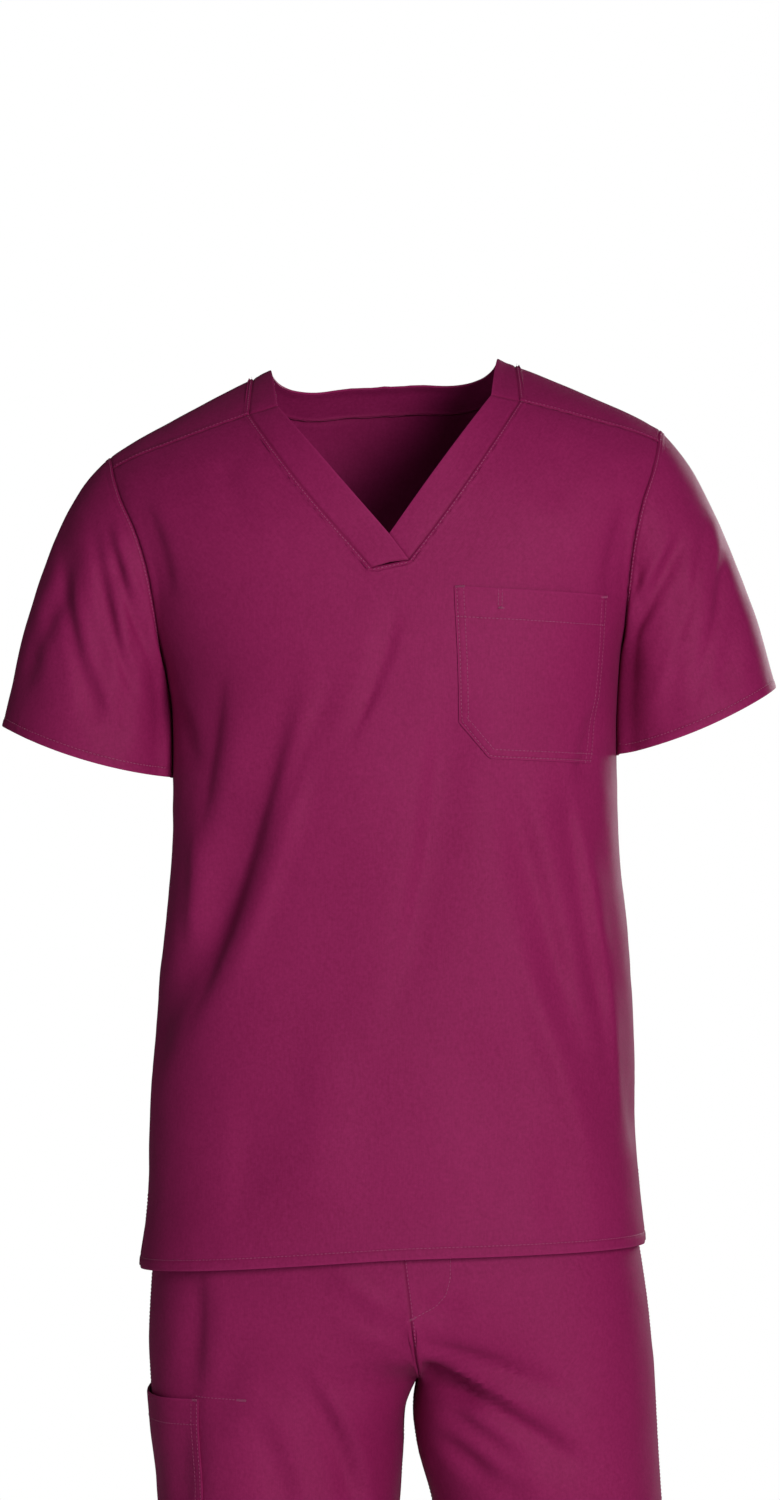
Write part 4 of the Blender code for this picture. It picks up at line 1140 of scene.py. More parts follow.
def fold_depth(garments: Sequence[str], points: Array) -> Array:
    """Adds up how deep the large folds press.

    Args:
        garments: Whose folds to read.
        points: Places on the cloth.

    Returns:
        Depth at each point.
    """
    depth = np.zeros(points.shape[:-1])
    for fold in (fold for garment in garments for fold in FOLDS[garment]):
        start = np.array(fold[:3])
        along = np.array(fold[3:6]) - start
        share = np.clip((points - start) @ along / (along @ along), 0.0, 1.0)
        distance = np.linalg.norm(points - start - share[..., None] * along, axis=-1)
        depth += fold.depth * bell(distance, fold.reach)
    return depth


def press_folds(points: Array, inside: tuple, garments: Sequence[str],
                share: Amount = 1.0) -> Array:
    """Presses a share of the large folds of some garments into a grid."""
    depth = fold_depth(garments, np.nan_to_num(points)) * share
    return points - grid_normals(points, np.array(inside)) * depth[..., None]


def core(points: Array) -> tuple:
    """A place in the middle of a grid, inside the leg."""
    x, _, z = points.reshape(-1, 3).mean(axis=0)
    return x, 0.01, z


def crease_depth(garment: str, points: Array, normal: Array) -> Array:
    """Adds up how deep the fine creases press.

    Args:
        garment: Whose creases.
        points: Places on the cloth.
        normal: Directions out of it.

    Returns:
        Depth at each point.
    """
    depth = np.zeros(points.shape[:-1])
    for face, crease in ((face, crease) for face in (FRONT, BACK)
                         for crease in CREASES.get((garment, face), ())):
        start = np.array(crease[:2])
        along = np.array(crease[2:4]) - start
        length = math.hypot(*along)
        along = along / length
        side = np.array([-along[1], along[0]])
        away = points[..., [0, 2]] - start
        share = (away @ along) / length
        bend = crease.bow * 4.0 * share * (1.0 - share)
        off = away @ side - np.where((share > 0) & (share < 1), bend, 0.0)
        beyond = np.maximum(np.maximum(-share, share - 1.0), 0.0) * length
        fade = smooth(np.minimum(share, 1.0 - share) / 0.40 + 0.06)
        facing = smooth(normal[..., 1] * face * 2.2)
        reach = crease.reach * (1.0 + crease.lean * np.sign(off))
        press = np.exp(-((off / reach) ** 2) - (beyond / crease.reach) ** 2)
        depth += crease.depth * press * fade * facing
    return np.nan_to_num(depth)


def unevenness(points: Array) -> Array:
    """A faint waviness that no cloth is without.

    Args:
        points: Places on the cloth.

    Returns:
        Lift at each point.
    """
    wave = np.zeros(points.shape[:-1])
    for row, column in zip(*np.nonzero(~np.isnan(points[..., 0]))):
        place = Vector(points[row, column])
        broad = noise.noise(place * 17.0)
        small = noise.noise(place * 52.0 + Vector((7.0, 3.0, 1.0)))
        wave[row, column] = broad * 0.0011 + small * 0.00035
    return wave


# --- stitches ---

@dataclass
class Sewing:
    """Rows of stitches, gathered into one mesh for each panel."""

    thread: bpy.types.Material
    pitch: float = 0.0031
    length: float = 0.0023
    radius: float = 0.00027
    tack_pitch: float = 0.0006
    tack_length: float = 0.0021
    sway: float = 0.07
    points: list = field(default_factory=list)
    faces: list = field(default_factory=list)

    def row(self, line: tuple, pitch: Optional[float] = None) -> None:
        """Sews a row of running stitches.

        Args:
            line: Points and normals that it runs along.
            pitch: Step between stitches, where it isn't the usual one.
        """
        points, normals = line
        if len(points) < 2:
            return
        pitch = pitch or self.pitch
        travelled = travel(points)
        wanted = np.arange(pitch / 2, travelled[-1], pitch)
        if len(wanted) < 2:
            return
        centre = read_at(wanted, travelled, points)
        normal = unit(read_at(wanted, travelled, normals))
        self.stitch(centre, unit(np.gradient(centre, axis=0)), normal, self.length)

    def rows(self, panel: Panel, edges: dict) -> None:
        """Sews rows beside edges of a panel, given for each distance from them."""
        for line in (panel.beside(edge, off) for off, some in edges.items() for edge in some):
            self.row(line)

    def tack(self, place: Array, along: Array, normal: Array, size: float) -> None:
        """Sews a bar tack: stitches side by side across a short line.

        Args:
            place: Its middle.
            along: Direction of the line.
            normal: Direction out of the cloth.
            size: Its length.
        """
        along = unit(along)
        count = max(int(size / self.tack_pitch), 4)
        steps = (np.arange(count) / (count - 1) - 0.5) * size
        centre = place + along * steps[:, None] + normal * 0.0001
        lean = unit(np.cross(normal, along) + 0.15 * along)
        tangent, normal = (np.tile(vector, (count, 1)) for vector in (lean, normal))
        self.stitch(centre, tangent, normal, self.tack_length)

    def stitch(self, centre: Array, tangent: Array, normal: Array, length: float) -> None:
        """Adds stitches: slim spindles whose ends go down into the cloth.

        Args:
            centre: Middle of each.
            tangent: Its direction.
            normal: Direction out of the cloth.
            length: Its length.
        """
        side = unit(np.cross(normal, tangent))
        sway = np.sin(np.arange(len(centre)) * 2.39) * self.sway
        tangent = unit(tangent + side * sway[:, None])
        tips = [centre + tangent * (share * length) - normal * 0.00012 for share in (-0.5, 0.5)]
        rings = []
        for share in (-0.30, 0.30):
            middle = centre + tangent * (share * length) + normal * 0.00004
            rings += [middle + (side * math.cos(turn) + normal * math.sin(turn)) * self.radius
                      for turn in (0.0, math.pi / 2, math.pi, 3 * math.pi / 2)]
        shape = [(0, 2, 1), (0, 3, 2), (0, 4, 3), (0, 1, 4),
                 (1, 2, 6, 5), (2, 3, 7, 6), (3, 4, 8, 7), (4, 1, 5, 8),
                 (9, 5, 6), (9, 6, 7), (9, 7, 8), (9, 8, 5)]
        for item in np.stack([tips[0], *rings, tips[1]], axis=1):
            start = len(self.points)
            self.points.extend(item.tolist())
            self.faces.extend(tuple(corner + start for corner in corners) for corners in shape)

    def finish(self, name: str) -> Optional[bpy.types.Object]:
        """Makes one mesh of what has been sewn, and starts afresh.

        Args:
            name: Its name.

        Returns:
            The stitches, or None.
        """
        if not self.points:
            return None
        piece = add_mesh(name, self.points, self.faces, self.thread)
        piece.data.shade_smooth()
        self.points = []
        self.faces = []
        return piece


@dataclass
class Garment:
    """What both garments share."""

    form: object
    cloth: bpy.types.Material
    sewing: Sewing
    pitch: float = 0.0042
    tight: tuple = (0.0, 0.0006, 0.0013, 0.0022, 0.0034, 0.0048, 0.0062, 0.0074, 0.0086, 0.0100)

    def patch(self, panel: Panel, band: float, inner_row: float, inset: float) -> Edge:
        """Folds, settles and sews a patch pocket.

        Args:
            panel: The pocket.
            band: Depth of its top hem.
            inner_row: Distance of its inner row from its edges.
            inset: Distance of its tacks from its sides.

        Returns:
            Its top edge.
        """
        top, *rest = panel.edges(FIRST_ROW, *side_lines(), LAST_ROW)
        panel.sew(Finish.FOLDED, band, 1.0, top)
        panel.sew(Finish.FOLDED, EDGE_STITCH, 2.0, *rest)
        panel.hold[:] = 1.0
        panel.settle()
        self.sewing.rows(panel, {band: [top], EDGE_STITCH: rest, inner_row: rest})
        for side in rest[:2]:
            place, normal = panel.on_surface(side.points[2:3] + side.inward[2:3] * inset)
            self.sewing.tack(place[0], side.inward[2], normal[0], TACK)
        return top

    def hand_in(self, panel: Panel, flat: tuple, area: float) -> tuple:
        """Makes a panel's piece and stitches, hangs them on the root body, and hides the part they
        stand for.

        Args:
            panel: The settled panel, named as its node.
            flat: Width and length of its cut; not used.
            area: Area of its cut.

        Returns:
            The piece, its stitches or None, and the area.
        """
        piece = panel.shell(self.cloth)
        stitches = self.sewing.finish(panel.name + "_stitches")
        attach(piece, "root")
        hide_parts(panel.name)
        if stitches is not None:
            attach(stitches, "root")
        return piece, stitches, area


# --- the top ---

@dataclass
class TopForm:
    """The surface of the top in an upright figure frame, and its lines."""

    tilt: float = 0.05
    ridge_y: float = 0.010
    roll_depth: float = 0.165
    roll_depth_tip: float = 0.085
    roll_power: float = 2.2
    roll_round: float = 1.3
    over_power: float = 1.3
    hem_z: float = -0.7135
    hem_front_lift: float = 0.0085
    hem_back_lift: float = -0.005
    underarm_z: float = -0.245
    tip_x: float = 0.2205
    seam_tip_x: float = 0.2175
    seam_tip_drop: float = 0.0125
    neck_seam_x: float = 0.105
    neck_seam_front_x: float = 0.107
    neck_edge_x: float = 0.091
    neck_edge_front_x: float = 0.0844
    neck_seam_reach: float = 0.506
    neck_edge_reach: float = 0.375
    seam_drop_neck: float = 0.0315
    edge_drop_neck: float = 0.037
    v_bottom_z: float = -0.1655
    v_bottom_half: float = 0.0143
    v_bottom_slope: float = 0.16
    v_tip_z: float = -0.142
    v_bow: float = 0.0035

    def stand(self, points: Array) -> Array:
        """Sets points of the figure frame into the standing pose."""
        x = points[..., 0] + TORSO.at("centre", points[..., 2])
        return np.stack([x, points[..., 1], points[..., 2] + self.tilt * x], axis=-1)

    def ridge_z(self, x: Array) -> Array:
        """Height of the shoulder ridge at a distance from the centre."""
        return SHOULDER_RIDGE.at("z", np.abs(x))

    def roll(self, x: Array, drop: Array) -> Array:
        """Share of its full depth that the cloth has reached below the ridge.

        Args:
            x: Places across.
            drop: How far below the ridge.

        Returns:
            The shares.
        """
        out = np.clip(np.abs(x) / self.tip_x, 0.0, 1.0) ** 2
        left = 1.0 - np.clip(drop / mix(self.roll_depth, self.roll_depth_tip, out), 0.0, 1.0)
        return (1.0 - left**self.roll_power) ** (1.0 / self.roll_round)

    def across(self, angle: Array, z: Array) -> Array:
        """Distance across at an angle from the centre line."""
        reach = np.abs(np.sin(angle)) ** (2.0 / TORSO.at("power", z))
        return TORSO.at("half_width", z) * np.sign(angle) * reach

    def share_out(self, x: Array, z: Array) -> Array:
        """Share of the way from the centre line to the side."""
        return np.clip(np.abs(x) / TORSO.at("half_width", z), 0.0, 1.0)

    def angle(self, x: Array, z: Array) -> Array:
        """Angle from the centre line of a place across."""
        return np.sign(x) * np.arcsin(self.share_out(x, z) ** (TORSO.at("power", z) / 2.0))

    def outside(self, x: Array, z: Array, side: Amount) -> Array:
        """Standing points of the outside, as for point, with the large folds pressed in."""
        return self.stand(press_folds(self.point(x, z, side), (0.0, self.ridge_y, -0.13), ["top"]))

    def point(self, x: Array, z: Array, side: Amount) -> Array:
        """Points of the outside in the figure frame.

        Args:
            x: Places across.
            z: Heights.
            side: FRONT or BACK.

        Returns:
            The points.
        """
        x, z, side = np.broadcast_arrays(x, z, side)
        power = TORSO.at("power", z)
        out = (1.0 - self.share_out(x, z) ** power) ** (1.0 / power)
        depth = np.where(side < 0, TORSO.at("front", z), TORSO.at("back", z))
        y = self.ridge_y + side * depth * out * self.roll(x, self.ridge_z(x) - z)
        return np.stack([x, y, z], axis=-1)

    def path_of(self, drop: Array) -> Array:
        """Length of path over the shoulder that a drop below the ridge takes."""
        return (np.maximum(drop, 0.0) / self.roll_depth) ** (1.0 / self.over_power)

    def drop_of(self, path: Array) -> Array:
        """Drop below the ridge at a length of path."""
        return self.roll_depth * np.abs(path) ** self.over_power

    def side_x(self, z: Array, column: str) -> Array:
        """Distance across of the side seam, and of the armhole's edge above it."""
        half = TORSO.at("half_width", z)
        return np.where(z <= self.underarm_z, half, np.minimum(ARMHOLE.at(column, z), half))

    def neck_seam_z(self, x: Array) -> Array:
        """Height of the neckline of the back."""
        share = np.clip(np.abs(x) / self.neck_seam_x, 0.0, 1.0)
        return self.ridge_z(x) - self.drop_of(self.neck_seam_reach * np.sqrt(1.0 - share**2))

    def shoulder_seam_z(self, x: Array) -> Array:
        """Height of the forward shoulder seam."""
        share = way(np.abs(x), self.neck_seam_front_x, self.seam_tip_x)
        return self.ridge_z(x) - mix(self.seam_drop_neck, self.seam_tip_drop, share)

    def v_bottom(self, hand: int) -> float:
        """Height of a corner of the short bottom of the V."""
        return self.v_bottom_z + hand * self.v_bottom_slope * self.v_bottom_half

    def v_seam(self, z: Array, hand: int) -> Array:
        """Distance across of the V seam at some heights, for one side of the V.

        Args:
            z: The heights.
            hand: The side, -1 or 1.

        Returns:
            The distances.
        """
        share = way(z, self.v_bottom(hand), self.shoulder_seam_z(self.neck_seam_front_x))
        bow = self.v_bow * np.sin(math.pi * share)
        return mix(self.v_bottom_half, self.neck_seam_front_x, share) + bow


@dataclass
class ScrubTop(Garment):
    """The top: its pattern pieces, cut from its form, sewn and dressed."""

    form: TopForm
    side_length: float = 0.47
    chest_length: float = 0.085
    v_length: float = 0.165
    half_front: float = 0.22
    back_rise: float = 0.19
    shoulder: float = 0.15
    flap_length: float = 0.045
    neck_columns: int = 27
    hem_depth: float = 0.0080
    seam_lap: float = 0.00272
    vent_rows: int = 14
    vent_hem: float = 0.0075
    vent_stitch_rows: int = 22
    sleeve_length: float = 0.19
    cuff_depth: float = 0.0068
    cuff_outer: tuple = (0.3085, -0.2750)
    cuff_inner: tuple = (0.1789, -0.3230)
    cuff_half_depth: float = 0.066
    cuff_y: float = 0.012
    cuff_dip: float = 0.006
    band_pitch: float = 0.0025
    band_wall: float = 0.0005
    pocket_top: tuple = ((0.0487, -0.1856), (0.1690, -0.1970))
    pocket_bottom: tuple = ((0.0503, -0.3180), (0.1550, -0.3280))
    pocket_size: tuple = (0.121, 0.134)
    pocket_pitch: float = 0.0032
    pocket_clip_across: float = 0.22
    pocket_clip_up: float = 0.20
    pocket_band: float = 0.0235
    pen_rows: tuple = (0.0345, 0.0375)
    pen_length: float = 0.0145
    pen_pitch: float = 0.0026

    def build(self) -> list:
        """Builds the top.

        Returns:
            Its pieces, each with its stitches or None and the area of its cut.
        """
        self.body = spread(self.side_length, self.pitch, self.tight, end=False)
        self.underarm_row = len(self.body) - 1
        self.lay_front()
        self.lay_back()
        pieces = [self.front_piece(), self.back_piece()]
        pieces += [self.sleeve_piece(pose) for pose in SLEEVE_POSES]
        pieces += [self.v_band("neckband_right", -1, self.front_left, 0.0056),
                   self.v_band("neckband_left", 1, self.front_right, 0.0050)]
        return pieces + [self.back_band(), self.pocket()]

    def side_heights(self, top_z: float, above: int) -> Array:
        """Heights at the side of a grid.

        Args:
            top_z: Height of its last row.
            above: Number of rows above the underarm.

        Returns:
            The heights.
        """
        arm = np.linspace(0.0, 1.0, above + 1)[1:]
        arm = mix(self.form.underarm_z, top_z, mix(arm, smooth(arm), 0.45))
        return np.concatenate([mix(self.form.hem_z, self.form.underarm_z, self.body), arm])

    def rise(self, rows: int) -> Array:
        """Share of the way up from the underarm, for each of a grid's rows, as a column."""
        share = (np.arange(rows) - self.underarm_row) / (rows - len(self.body))
        return np.clip(share, 0.0, 1.0)[:, None]

    def lay_front(self) -> None:
        """Works out the front's grid: places across and heights."""
        form = self.form
        chest = spread(self.chest_length, self.pitch, self.tight, start=False)
        neck = spread(self.v_length, self.pitch, self.tight)
        seam_tip_z = form.shoulder_seam_z(form.seam_tip_x)
        neck_z = form.shoulder_seam_z(form.neck_seam_front_x)
        side_z = self.side_heights(seam_tip_z, len(chest) + len(neck) - 2)
        edge = form.side_x(side_z, "front_x")
        shares = spread(self.half_front, self.pitch, self.tight)
        top_x = mix(form.neck_seam_front_x, form.seam_tip_x, shares)
        weight = way(form.shoulder_seam_z(top_x), neck_z, seam_tip_z)
        upper = self.rise(len(side_z))
        halves = []
        for hand in (-1, 1):
            bottom = form.v_bottom(hand)
            low = mix(form.hem_z + form.hem_front_lift, form.underarm_z, self.body)
            centre_z = np.concatenate([low, mix(form.underarm_z, bottom, chest[1:]),
                                       mix(bottom, neck_z, neck[1:])])
            z = mix(centre_z[:, None], side_z[:, None], np.where(upper > 0, weight, shares))
            start = np.where(centre_z > bottom, form.v_seam(centre_z, hand), form.v_bottom_half)
            first = form.angle(start, z[:, 0])[:, None]
            last = form.angle(edge, z[:, -1])[:, None]
            by_angle = form.across(mix(first, last, shares), z)
            x = mix(by_angle, mix(start[:, None], edge[:, None], shares), upper)
            x[-1] = top_x
            z[-1] = form.shoulder_seam_z(top_x)
            halves.append((hand * x, z))
        self.v_row = self.underarm_row + len(chest) - 1
        between = spread(2 * form.v_bottom_half, self.pitch, self.tight[:1])[1:-1]
        middle_x, middle_z = (mix(first[:, :1], last[:, :1], between)
                              for first, last in zip(*halves))
        middle_x[self.v_row + 1:] = np.nan
        (left_x, left_z), (right_x, right_z) = halves
        x = np.hstack([left_x[:, ::-1], middle_x, right_x])
        z = np.hstack([left_z[:, ::-1], middle_z, right_z])
        self.front_lay = np.array([x, z, np.full_like(x, FRONT)])
        self.front_left = len(shares) - 1
        self.front_right = len(shares) + len(between)

    def lay_back(self) -> None:
        """Works out the back's grid: places across, heights and sides, over both shoulders."""
        form = self.form
        rows = self.front_lay.shape[1]
        above = rows - len(self.body)
        side_z = self.side_heights(form.ridge_z(form.tip_x), above)
        centre = spread(self.back_rise, self.back_rise / above, self.tight, start=False)
        steps, known = (np.linspace(0.0, 1.0, count) for count in (above + 1, len(centre)))
        centre = np.interp(steps, known, centre)
        low = mix(form.hem_z + form.hem_back_lift, form.underarm_z, self.body)
        centre_z = np.concatenate([low, mix(form.underarm_z, form.neck_seam_z(0.0), centre[1:])])
        neck = np.sin(np.linspace(0.0, 1.0, self.neck_columns) * math.pi / 2) * form.neck_seam_x
        beyond = spread(self.shoulder, self.pitch, self.tight)[1:]
        ridge_x = np.concatenate([neck, mix(form.neck_seam_x, form.tip_x, beyond)])
        corner = len(neck) - 1
        ridge_row_z = np.concatenate([form.neck_seam_z(neck), form.ridge_z(ridge_x[corner + 1:])])
        weight = way(ridge_row_z, ridge_row_z[0], ridge_row_z[-1])
        upper = self.rise(rows)
        z = mix(centre_z[:, None], side_z[:, None], mix(ridge_x / ridge_x[-1], weight, upper))
        edge = form.side_x(side_z, "back_x")
        first = form.angle(form.neck_seam_x, z[:, corner])[:, None]
        last = form.angle(edge, z[:, -1])[:, None]
        outside = form.across(mix(first, last, beyond), z[:, corner + 1:])
        outside = mix(outside, mix(form.neck_seam_x, edge[:, None], beyond), upper)
        x = np.hstack([np.broadcast_to(neck, (rows, corner + 1)), outside])
        x[-1] = ridge_x
        z[-1] = ridge_row_z
        seam_x = mix(form.neck_seam_front_x, form.seam_tip_x, np.concatenate([[0.0], beyond]))
        seam_path = form.path_of(form.ridge_z(seam_x) - form.shoulder_seam_z(seam_x))
        shares = spread(self.flap_length, self.pitch, self.tight, start=False)[1:, None]
        flap_x, flap_z = np.full((2, len(shares), x.shape[1]), np.nan)
        flap_x[:, corner:] = mix(ridge_x[corner:], seam_x, shares)
        flap_z[:, corner:] = form.ridge_z(flap_x[:, corner:]) - form.drop_of(seam_path * shares)
        side = np.concatenate([np.full_like(x, BACK), np.full_like(flap_x, FRONT)])
        x = np.vstack([x, flap_x])
        z = np.vstack([z, flap_z])
        self.back_lay = np.array([np.hstack([sign * grid[:, :0:-1], grid])
                                  for sign, grid in ((-1.0, x), (1.0, z), (1.0, side))])
        self.ridge_row = rows - 1
        self.neck_first = x.shape[1] - 1 - corner
        self.neck_last = x.shape[1] - 1 + corner

    def body_edges(self, panel: Panel) -> tuple:
        """Hem, both side seams and both armholes of the front or the back."""
        sides, arms = (panel.edges(*side_lines(rows))
                       for rows in np.s_[:self.underarm_row + 1, self.underarm_row:])
        return panel.edge(FIRST_ROW), sides, arms

    def vents(self, sides: list) -> list:
        """The lowest stretch of each side seam, which is open at the hem."""
        return [side.part(np.s_[:self.vent_stitch_rows]) for side in sides]

    def front_piece(self) -> tuple:
        """Front panel, with its hem, vents, V seam and shoulder seams.

        Returns:
            The piece, its stitches or None, and the area of its cut.
        """
        panel = Panel("top_front", self.form.outside(*self.front_lay), "top", (0.0, 0.0, -0.35))
        hem, sides, arms = self.body_edges(panel)
        left, right = self.front_left, self.front_right
        above = np.s_[self.v_row:]
        v_lines = (Line.column(left, -1, above), Line.column(right, 1, above),
                   Line.row(self.v_row, -1, np.s_[left:right + 1]))
        shoulder_lines = Line.row(-1, -1, np.s_[:left + 1]), Line.row(-1, -1, np.s_[right:])
        v_edges = panel.edges(*v_lines)
        panel.sew(Finish.HEM, self.hem_depth, 0.3, hem)
        panel.sew(Finish.SEAM, 0.0, 1.0, *panel.edges(*shoulder_lines))
        panel.sew(Finish.LAPPED, self.seam_lap, 3.0, *v_edges)
        panel.sew(Finish.SEAM, 0.0, 6.0, *sides, *arms)
        self.flare(panel, 0.0006, 0.0035)
        panel.backed += v_lines + shoulder_lines
        panel.settle()
        self.front_panel = panel
        self.sewing.rows(panel, {self.hem_depth: [hem], TOPSTITCH: v_edges,
                                 self.vent_hem: self.vents(sides)})
        return self.hand_in(panel, (0.56, 0.74), 0.325)

    def back_piece(self) -> tuple:
        """Back panel, over both shoulders to the forward seams.

        Returns:
            The piece, its stitches or None, and the area of its cut.
        """
        panel = Panel("top_back", self.form.outside(*self.back_lay), "top", (0.0, 0.0, -0.25))
        hem, sides, arms = self.body_edges(panel)
        first, last, flap = self.neck_first, self.neck_last, np.s_[self.ridge_row:]
        neck_lines = (Line.row(self.ridge_row, -1, np.s_[first:last + 1]),
                      Line.column(first, -1, flap), Line.column(last, 1, flap))
        seams = panel.edges(*neck_lines, Line.row(-1, -1, np.s_[:first + 1]),
                            Line.row(-1, -1, np.s_[last:]))
        panel.sew(Finish.HEM, self.hem_depth, 0.7, hem)
        panel.sew(Finish.LAPPED, self.seam_lap, 2.0, *seams)
        panel.sew(Finish.SEAM, 0.0, 9.0, *sides, *arms)
        self.flare(panel, 0.0036, 0.0)
        panel.backed += neck_lines
        panel.settle()
        self.back_panel = panel
        for line in side_lines(np.s_[self.vent_rows:self.underarm_row + 1]):
            ends = (piece.seam_edge(line) for piece in (panel, self.front_panel))
            panel.strips.append(seam_bridge(*ends))
        self.sewing.rows(panel, {self.hem_depth: [hem], TOPSTITCH: seams,
                                 self.vent_hem: self.vents(sides)})
        return self.hand_in(panel, (0.58, 0.83), 0.372)

    def flare(self, panel: Panel, at_sides: float, between: float) -> None:
        """Lifts the cloth off near the hem, which opens the side vents a little.

        Args:
            panel: The front or the back.
            at_sides: Lift beside the vents.
            between: Lift elsewhere.
        """
        rise = panel.points[..., 2] - self.form.tilt * panel.points[..., 0] - self.form.hem_z
        low = np.nan_to_num(1.0 - smooth(rise / 0.055))
        steps = np.arange(panel.points.shape[1])
        near = 1.0 - smooth(np.minimum(steps, steps[::-1]) / 16.0)
        panel.lift += low * (at_sides * near + between * (1.0 - near))

    def sleeve_rings(self, pose: SleevePose, column: int) -> Array:
        """The form of a sleeve, from the armhole that runs up the front and down the back.

        Args:
            pose: How it hangs.
            column: First or last column of the torso's grids.

        Returns:
            Rings from the armhole to the cuff, with x above 0.
        """
        front, back = self.front_lay[:, :, column], self.back_lay[:, :, column]
        loop = np.concatenate([self.form.point(*front[:, self.underarm_row:]),
                               self.form.point(*back[:, self.underarm_row:-1])[::-1]])
        loop *= (pose.hand, 1.0, 1.0)
        travelled = travel(loop)
        crown = int(np.argmax(loop[:, 2]))
        rest = travelled[-1] - travelled[crown]
        up = 1.0 - travelled / travelled[crown]
        turn = np.where(np.arange(len(loop)) <= crown, math.pi * up,
                        -math.pi * (travelled - travelled[crown]) / rest)
        cosine = np.cos(turn)[:, None]
        sine = np.sin(turn)[:, None]
        outer = np.array([self.cuff_outer[0] + pose.cuff_out, self.cuff_y, self.cuff_outer[1]])
        inner = np.array([self.cuff_inner[0], self.cuff_y, self.cuff_inner[1]])
        cuff = (outer + inner) / 2 + (outer - inner) / 2 * cosine
        cuff = cuff + np.array([0.0, -self.cuff_half_depth, 0.0]) * sine
        cuff = cuff + np.array([0.0, 0.0, -self.cuff_dip]) * sine**2
        over = np.maximum(cosine, 0.0) ** 2
        under = np.maximum(-cosine, 0.0) ** 2
        lean = np.hstack([np.ones_like(sine), -np.sign(sine), np.ones_like(sine)])
        leave = pose.leave * over + SLEEVE_UNDER * under
        leave = leave + SLEEVE_SIDE * lean * sine**2
        arrive = mix(SLEEVE_CUFF, SLEEVE_CUFF_UNDER, under)
        span = np.linalg.norm(cuff - loop, axis=1)[:, None]
        shares = spread(self.sleeve_length, self.pitch * 0.85, self.tight)[:, None]
        rings = curve(shares[:, None], loop, cuff, span * leave, span * arrive)
        fade = np.clip(shares / 0.15, 0.0, 1.0)
        return press_folds(rings, (0.235, 0.012, -0.2), [pose.name, "sleeve"], fade)

    def sleeve_piece(self, pose: SleevePose) -> tuple:
        """One set-in sleeve, from the armhole loop to its cuff.

        Args:
            pose: How it hangs.

        Returns:
            The piece, its stitches or None, and the area of its cut.
        """
        hand = pose.hand
        column = 0 if hand < 0 else -1
        rings = self.sleeve_rings(pose, column)
        points = self.form.stand(rings * np.array([hand, 1.0, 1.0]))
        panel = Panel(pose.name, points, pose.name, (hand * 0.24, 0.012, -0.2))
        cap, hem, *unders = panel.edges(FIRST_ROW, LAST_ROW, *side_lines())
        panel.sew(Finish.LAPPED, self.seam_lap, 4.0 + hand, cap)
        panel.sew(Finish.HEM, self.cuff_depth, 5.0 + hand, hem)
        for under in unders:
            panel.sew(Finish.SEAM, 0.0, 8.0 + hand, under)
        steady = panel.normal
        panel.settle()
        self.rest_on_torso(panel, steady)
        panel.strips += [seam_bridge(panel.seam_edge(Line.row(0, 2)), self.armhole(column)),
                         seam_bridge(*(panel.seam_edge(line) for line in side_lines()))]
        self.sewing.rows(panel, {TOPSTITCH: [cap], self.cuff_depth: [hem]})
        return self.hand_in(panel, (0.46, 0.25), 0.072)

    def rest_on_torso(self, sleeve: Panel, steady: Array) -> None:
        """Lays the sleeve against the torso where they nearly touch.

        Args:
            sleeve: The settled sleeve.
            steady: Its normals from before it was settled.
        """
        shift = np.zeros(sleeve.lift.shape)
        for row, column in np.ndindex(shift.shape):
            place = Vector(sleeve.points[row, column])
            found = [panel.tree.find_nearest(place, 0.015)
                     for panel in (self.front_panel, self.back_panel)]
            found = [hit for hit in found if hit[0] is not None]
            near = min(found, key=lambda hit: hit[3], default=None)
            if near is None or near[3] < 1e-5:
                continue
            facing = (near[0] - place).dot(Vector(steady[row, column])) / near[3]
            reach = float(smooth((0.014 - near[3]) / 0.006) * smooth((facing - 0.1) / 0.5))
            shift[row, column] = min(near[3], 0.0075) * reach
        shift *= smooth((np.arange(len(shift)) / len(shift) - 0.05) / 0.15)[:, None]
        for _ in range(5):
            ring = np.hstack([shift[:, -2:-1], shift, shift[:, 1:2]])
            shift = (ring[:, :-2] + ring[:, 1:-1] + ring[:, 2:]) / 3
            shift[1:-1] = (shift[:-2] + shift[1:-1] + shift[2:]) / 3
        sleeve.move(shift, steady)

    def armhole(self, column: int) -> SeamEdge:
        """Edge of the torso that a sleeve is set into, up the front and down the back."""
        front, back = (side_lines(np.s_[self.underarm_row:end])[column] for end in (None, -1))
        return self.front_panel.seam_edge(front).joined(self.back_panel.seam_edge(back))

